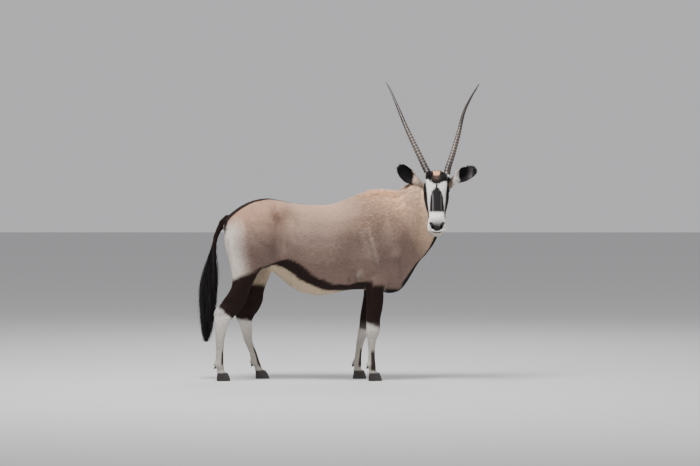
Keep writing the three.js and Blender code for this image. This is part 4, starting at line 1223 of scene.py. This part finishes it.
chance = np.random.default_rng(41)
turn = chance.uniform(0, 2 * math.pi, BRUSH_HAIRS)
share = np.sqrt(chance.uniform(0.02, 1, BRUSH_HAIRS))
root_z = chance.uniform(0.66, 0.87, BRUSH_HAIRS)
tip_z = np.maximum(0.236, root_z - chance.triangular(0.2, 0.42, 0.62, BRUSH_HAIRS))
wave = chance.uniform(0, 2 * math.pi, BRUSH_HAIRS)
loose = np.where(chance.random(BRUSH_HAIRS) < 0.12, 2.2, 1.0)
thick = chance.uniform(0.0008, 0.0022, BRUSH_HAIRS)
drift = np.zeros((BRUSH_HAIRS, 2))
strands = np.empty((BRUSH_HAIRS, BRUSH_RINGS * 3 + 1, 3))
for ring in range(BRUSH_RINGS + 1):
    drift += chance.normal(0, 0.0022, (BRUSH_HAIRS, 2)) * loose[:, None]
    u = ring / BRUSH_RINGS
    z = root_z + (tip_z - root_z) * u
    x, half_x, half_y = brush_at(z)
    spread = share * min(1, 0.35 + 1.6 * u)
    swirl = turn + 0.5 * u + 0.12 * np.sin(wave + 5 * u)
    middle = np.column_stack([x + half_x * spread * np.cos(swirl) + drift[:, 0],
                              MIDDLE + half_y * spread * np.sin(swirl) + drift[:, 1], z])
    if ring == BRUSH_RINGS:
        strands[:, -1] = middle
        break
    half = (thick * (1 - 0.6 * u))[:, None]
    outward = np.column_stack([np.cos(swirl), np.sin(swirl), np.zeros(BRUSH_HAIRS)])
    sideways = np.column_stack([-np.sin(swirl), np.cos(swirl), np.zeros(BRUSH_HAIRS)])
    strands[:, ring * 3] = middle + sideways * half
    strands[:, ring * 3 + 1] = middle - sideways * half
    strands[:, ring * 3 + 2] = middle + outward * half * 0.8
still = np.zeros((BRUSH_HAIRS, 3))
_, faces = tufts(still, still, still, turn, turn, 0.0, rings=BRUSH_RINGS)
place = strands[:, 0]
colour = PALETTE["black"] * chance.uniform(0.5, 2.6, BRUSH_HAIRS)[:, None]
colour[chance.random(BRUSH_HAIRS) < 0.12] = PALETTE["dark"] * 1.6
round_brush = np.column_stack([np.cos(turn), np.sin(turn), np.zeros(BRUSH_HAIRS)])
straight_down = np.tile((0.0, 0.0, -1.0), (BRUSH_HAIRS, 1))
tail = hair_piece("tail_brush", strands, faces, colour, place, np.zeros(BRUSH_HAIRS, dtype=int),
                  sheen_direction(round_brush, straight_down, 0.3, chance))
tail.data.materials.append(coat_material)
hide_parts("tail")
print("brush:", BRUSH_HAIRS, "hairs,", len(faces), "triangles")

# %% [markdown]
# ## Horns
# Each horn is a long thin cone of horn, ringed over its lower part and smooth above. It is drawn along
# the same line as its solid, with finer rings, and its root bends down into the skull under the hair.
# Horn is keratin of index about 1.54. It looks nearly black and faintly glossy. From some way above the
# base its ridges carry a painted highlight, a paler tone where light catches them.

# %% Horns along their solids
HORN_RADIUS = 0.0182
HORN_RINGS = 18
RINGS_END = 0.56
HORN_ROOT = 0.044
ROOT_WIDTH = 0.82
RIDGE_HEIGHT = 0.0028
HORN_STEPS = 320
HORN_SIDES = 36
horns = {}
for hand, stops in HORN_STOPS.items():
    line, run = curve_through(stops, HORN_STEPS)
    root = HORN_ROOT / run
    t = np.maximum((np.linspace(0, 1, HORN_STEPS) - root) / (1 - root), 0)
    radius = HORN_RADIUS * (1 - t) ** 0.72 + 0.0016 + 0.0006
    radius = radius * np.where(t > 0, np.minimum(ROOT_WIDTH + t * 20, 1), ROOT_WIDTH)
    phase = np.clip((t - 0.03) / (RINGS_END - 0.03), 0, 1) * HORN_RINGS
    strength = np.clip((t - 0.01) / 0.03, 0, 1) * np.clip((RINGS_END + 0.04 - t) / 0.2, 0, 1)
    ringed = (0.5 - 0.5 * np.cos(2 * math.pi * phase)) ** 0.7
    radius = radius + RIDGE_HEIGHT * ringed * strength - 0.001 * strength
    points, faces = tube(line, radius, HORN_SIDES, 1.04)
    horn = mesh_piece(f"horn_{hand}_ringed", points, faces)
    step = np.concatenate([np.repeat(t, HORN_SIDES), [0, 1]])
    # painted highlight on the ridges, from some way above the base
    ridge_highlight = ringed * strength * np.clip((t - 0.07) / 0.14, 0.12, 1)
    pale = np.concatenate([np.repeat(ridge_highlight, HORN_SIDES), [0, 0]])
    paint(horn, "Horn growth", np.column_stack([step, pale, np.zeros_like(step)]))
    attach(horn, "root")
    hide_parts(f"horn_{hand}")
    horns[hand] = horn
    print("horn", hand, "length", round(run, 3), "m")

# %% Horn material
horn_material, tree, output = new_material("ringed_horn")
growth = add_node(tree, "ShaderNodeVertexColor", {"layer_name": "Horn growth"})
split = add_node(tree, "ShaderNodeSeparateColor", links={"Color": growth.outputs["Color"]})
fibres = add_node(tree, "ShaderNodeTexNoise", {"Scale": 90.0, "Detail": 6.0}, {"Vector": object_place(tree)})
tone = add_node(tree, "ShaderNodeValToRGB", links={"Fac": fibres.outputs["Fac"]})
tone.color_ramp.elements[0].position = 0.35
tone.color_ramp.elements[0].color = (*linear("#15110F"), 1)
tone.color_ramp.elements[1].position = 0.7
tone.color_ramp.elements[1].color = (*linear("#42372F"), 1)
less = add_node(tree, "ShaderNodeMath", {"operation": "MULTIPLY", 1: 0.35}, {0: split.outputs["Green"]})
# painted highlight: the ridges are mixed towards a pale grey
highlighted_tone = add_node(tree, "ShaderNodeMix", {"data_type": "RGBA", 7: (*linear("#9A8A7E"), 1)},
                {0: less.outputs["Value"], 6: tone.outputs["Color"]})
shade_with(tree, output, {"Roughness": 0.36, "IOR": 1.54},
           {"Base Color": highlighted_tone.outputs[2], "Normal": bumped(tree, fibres.outputs["Fac"], 0.5, 0.001)})
for horn in horns.values():
    horn.data.materials.append(horn_material)

# %% [markdown]
# ## Eyes
# The eye of a gemsbok is large, dark brown and wet, with a pupil that is wide from side to side. The
# ball is turned so that its front looks out between the lids.

# %% Eyeballs
eye_material, tree, output = new_material("wet_eye")
zone = add_node(tree, "ShaderNodeVertexColor", {"layer_name": "Eye colour"})
fibres = add_node(tree, "ShaderNodeTexNoise", {"Scale": 400.0, "Detail": 3.0})
mixed = add_node(tree, "ShaderNodeMix", {"data_type": "RGBA", "blend_type": "MULTIPLY", 0: 0.5},
                 {6: zone.outputs["Color"], 7: fibres.outputs["Color"]})
shade_with(tree, output, {"Roughness": 0.06, "IOR": 1.38, "Coat Weight": 0.6, "Coat Roughness": 0.03},
           {"Base Color": mixed.outputs[2]})


def ball(radius, rows=40, sides=56):
    points = [(0, 0, radius)]
    for i in range(1, rows):
        tilt = math.pi * i / rows
        points += [(radius * math.sin(tilt) * math.cos(turn), radius * math.sin(tilt) * math.sin(turn),
                    radius * math.cos(tilt)) for turn in np.arange(sides) / sides * 2 * math.pi]
    points.append((0, 0, -radius))
    faces = [[0, 1 + k, 1 + (k + 1) % sides] for k in range(sides)]
    for i in range(rows - 2):
        for k in range(sides):
            a, b = 1 + i * sides + k, 1 + i * sides + (k + 1) % sides
            faces += [[a, a + sides, b + sides], [a, b + sides, b]]
    last = 1 + (rows - 2) * sides
    faces += [[last + k, len(points) - 1, last + (k + 1) % sides] for k in range(sides)]
    return np.array(points), np.array(faces)


for hand, side in HANDS:
    centre = eye_centre(hand)
    level, _, outward = eye_axes(side)
    upward = np.cross(outward, level)
    points, faces = ball(EYE_RADIUS)
    bulge = np.clip((points[:, 2] / EYE_RADIUS - 0.72) / 0.28, 0, 1)
    eye_colour = np.tile(linear("#0B0705"), (len(points), 1))
    iris = points[:, 2] > EYE_RADIUS * 0.80
    eye_colour[iris] = linear("#2A170C")
    pupil = (points[:, 0] / 0.0072) ** 2 + (points[:, 1] / 0.0042) ** 2 < 1
    eye_colour[pupil & iris] = linear("#020202")
    points = points * (1 + 0.03 * bulge[:, None])
    turned = centre + points @ np.array([level, upward, outward])
    eye = mesh_piece(f"eyeball_{hand}", turned, faces)
    paint(eye, "Eye colour", eye_colour)
    eye.data.materials.append(eye_material)
    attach(eye, "root")
    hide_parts(f"eye_{hand}")
    print("eye", hand, "at", centre.round(3).tolist())

# %% [markdown]
# ## Hooves
# Each foot ends in two claws of black horn, pointed in front, flat below. The solids already have
# their outline, so their shape is kept and only rounded. The keratin is worn, so it is duller than
# the horns, and fine growth bands run round it.

# %% Claws from their solids
HOOF_VOXEL = 0.002
SOLE_HEIGHT = 0.0015
hoof_material, tree, output = new_material("hoof_keratin")
bands = add_node(tree, "ShaderNodeTexWave",
                 {"wave_type": "BANDS", "bands_direction": "Z",
                  "Scale": 38.0, "Distortion": 5.0, "Detail": 4.0},
                 {"Vector": object_place(tree)})
tone = add_node(tree, "ShaderNodeValToRGB", links={"Fac": bands.outputs["Fac"]})
tone.color_ramp.elements[0].color = (*linear("#1E1916"), 1)
tone.color_ramp.elements[1].color = (*linear("#2A2420"), 1)
shade_with(tree, output, {"Roughness": 0.45, "IOR": 1.54},
           {"Base Color": tone.outputs["Color"], "Normal": bumped(tree, bands.outputs["Fac"], 0.22, 0.0006)})
for leg in LEGS:
    for claw in ("outer", "inner"):
        name = f"{leg}_{claw}_claw"
        draft = mesh_piece("draft", *triangles_of(nodes[name].data))
        add_voxels(draft, HOOF_VOXEL)
        soften = draft.modifiers.new("soften", "SMOOTH")
        soften.factor = 0.5
        soften.iterations = 6
        made = mesh_after_modifiers(draft)
        hoof = bpy.data.objects.new(f"hoof_{leg}_{claw}", made)
        bpy.context.scene.collection.objects.link(hoof)
        for vertex in made.vertices:
            if vertex.co.z < SOLE_HEIGHT:
                vertex.co.z = 0
        made.shade_smooth()
        made.materials.clear()
        made.materials.append(hoof_material)
        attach(hoof, "root")
        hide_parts(name)

# %% [markdown]
# Two small false hooves sit behind each fetlock, above the claws. They are blunt cones of the same
# horn. A ray from behind finds the skin, so that each cone stands on it.

# %% False hooves
DEWCLAW_HEIGHT = 0.088
DEWCLAW_LINE = np.array([(0.012, 0, 0.005), (0.005, 0, 0.001), (0.0, 0, -0.004), (-0.003, 0, -0.009),
                         (-0.004, 0, -0.013)])
DEWCLAW_RADII = np.array([0.0066, 0.0076, 0.0070, 0.0048, 0.0012])
for leg in LEGS:
    own = skin_points[(skin_part == PARTS.index(f"{leg}_lower_leg"))
                      & (np.abs(skin_points[:, 2] - DEWCLAW_HEIGHT) < 0.008)]
    behind = own[:, 0].min()
    centre = (own[:, 1].min() + own[:, 1].max()) / 2
    for hand, aside in (("outer", -0.0115), ("inner", 0.0115)):
        start = np.array([behind - 0.05, centre + aside, DEWCLAW_HEIGHT])
        hit, *_ = skin_tree.ray_cast(start, (1, 0, 0), 0.12)
        root = np.array([behind, centre + aside, DEWCLAW_HEIGHT]) if hit is None else np.array(hit)
        points, faces = tube(root + DEWCLAW_LINE, DEWCLAW_RADII)
        cone = mesh_piece(f"dewclaw_{leg}_{hand}", points, faces)
        cone.data.shade_smooth()
        cone.data.materials.append(hoof_material)
        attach(cone, "root")
    print("false hooves of", leg, "at x", round(behind, 3))
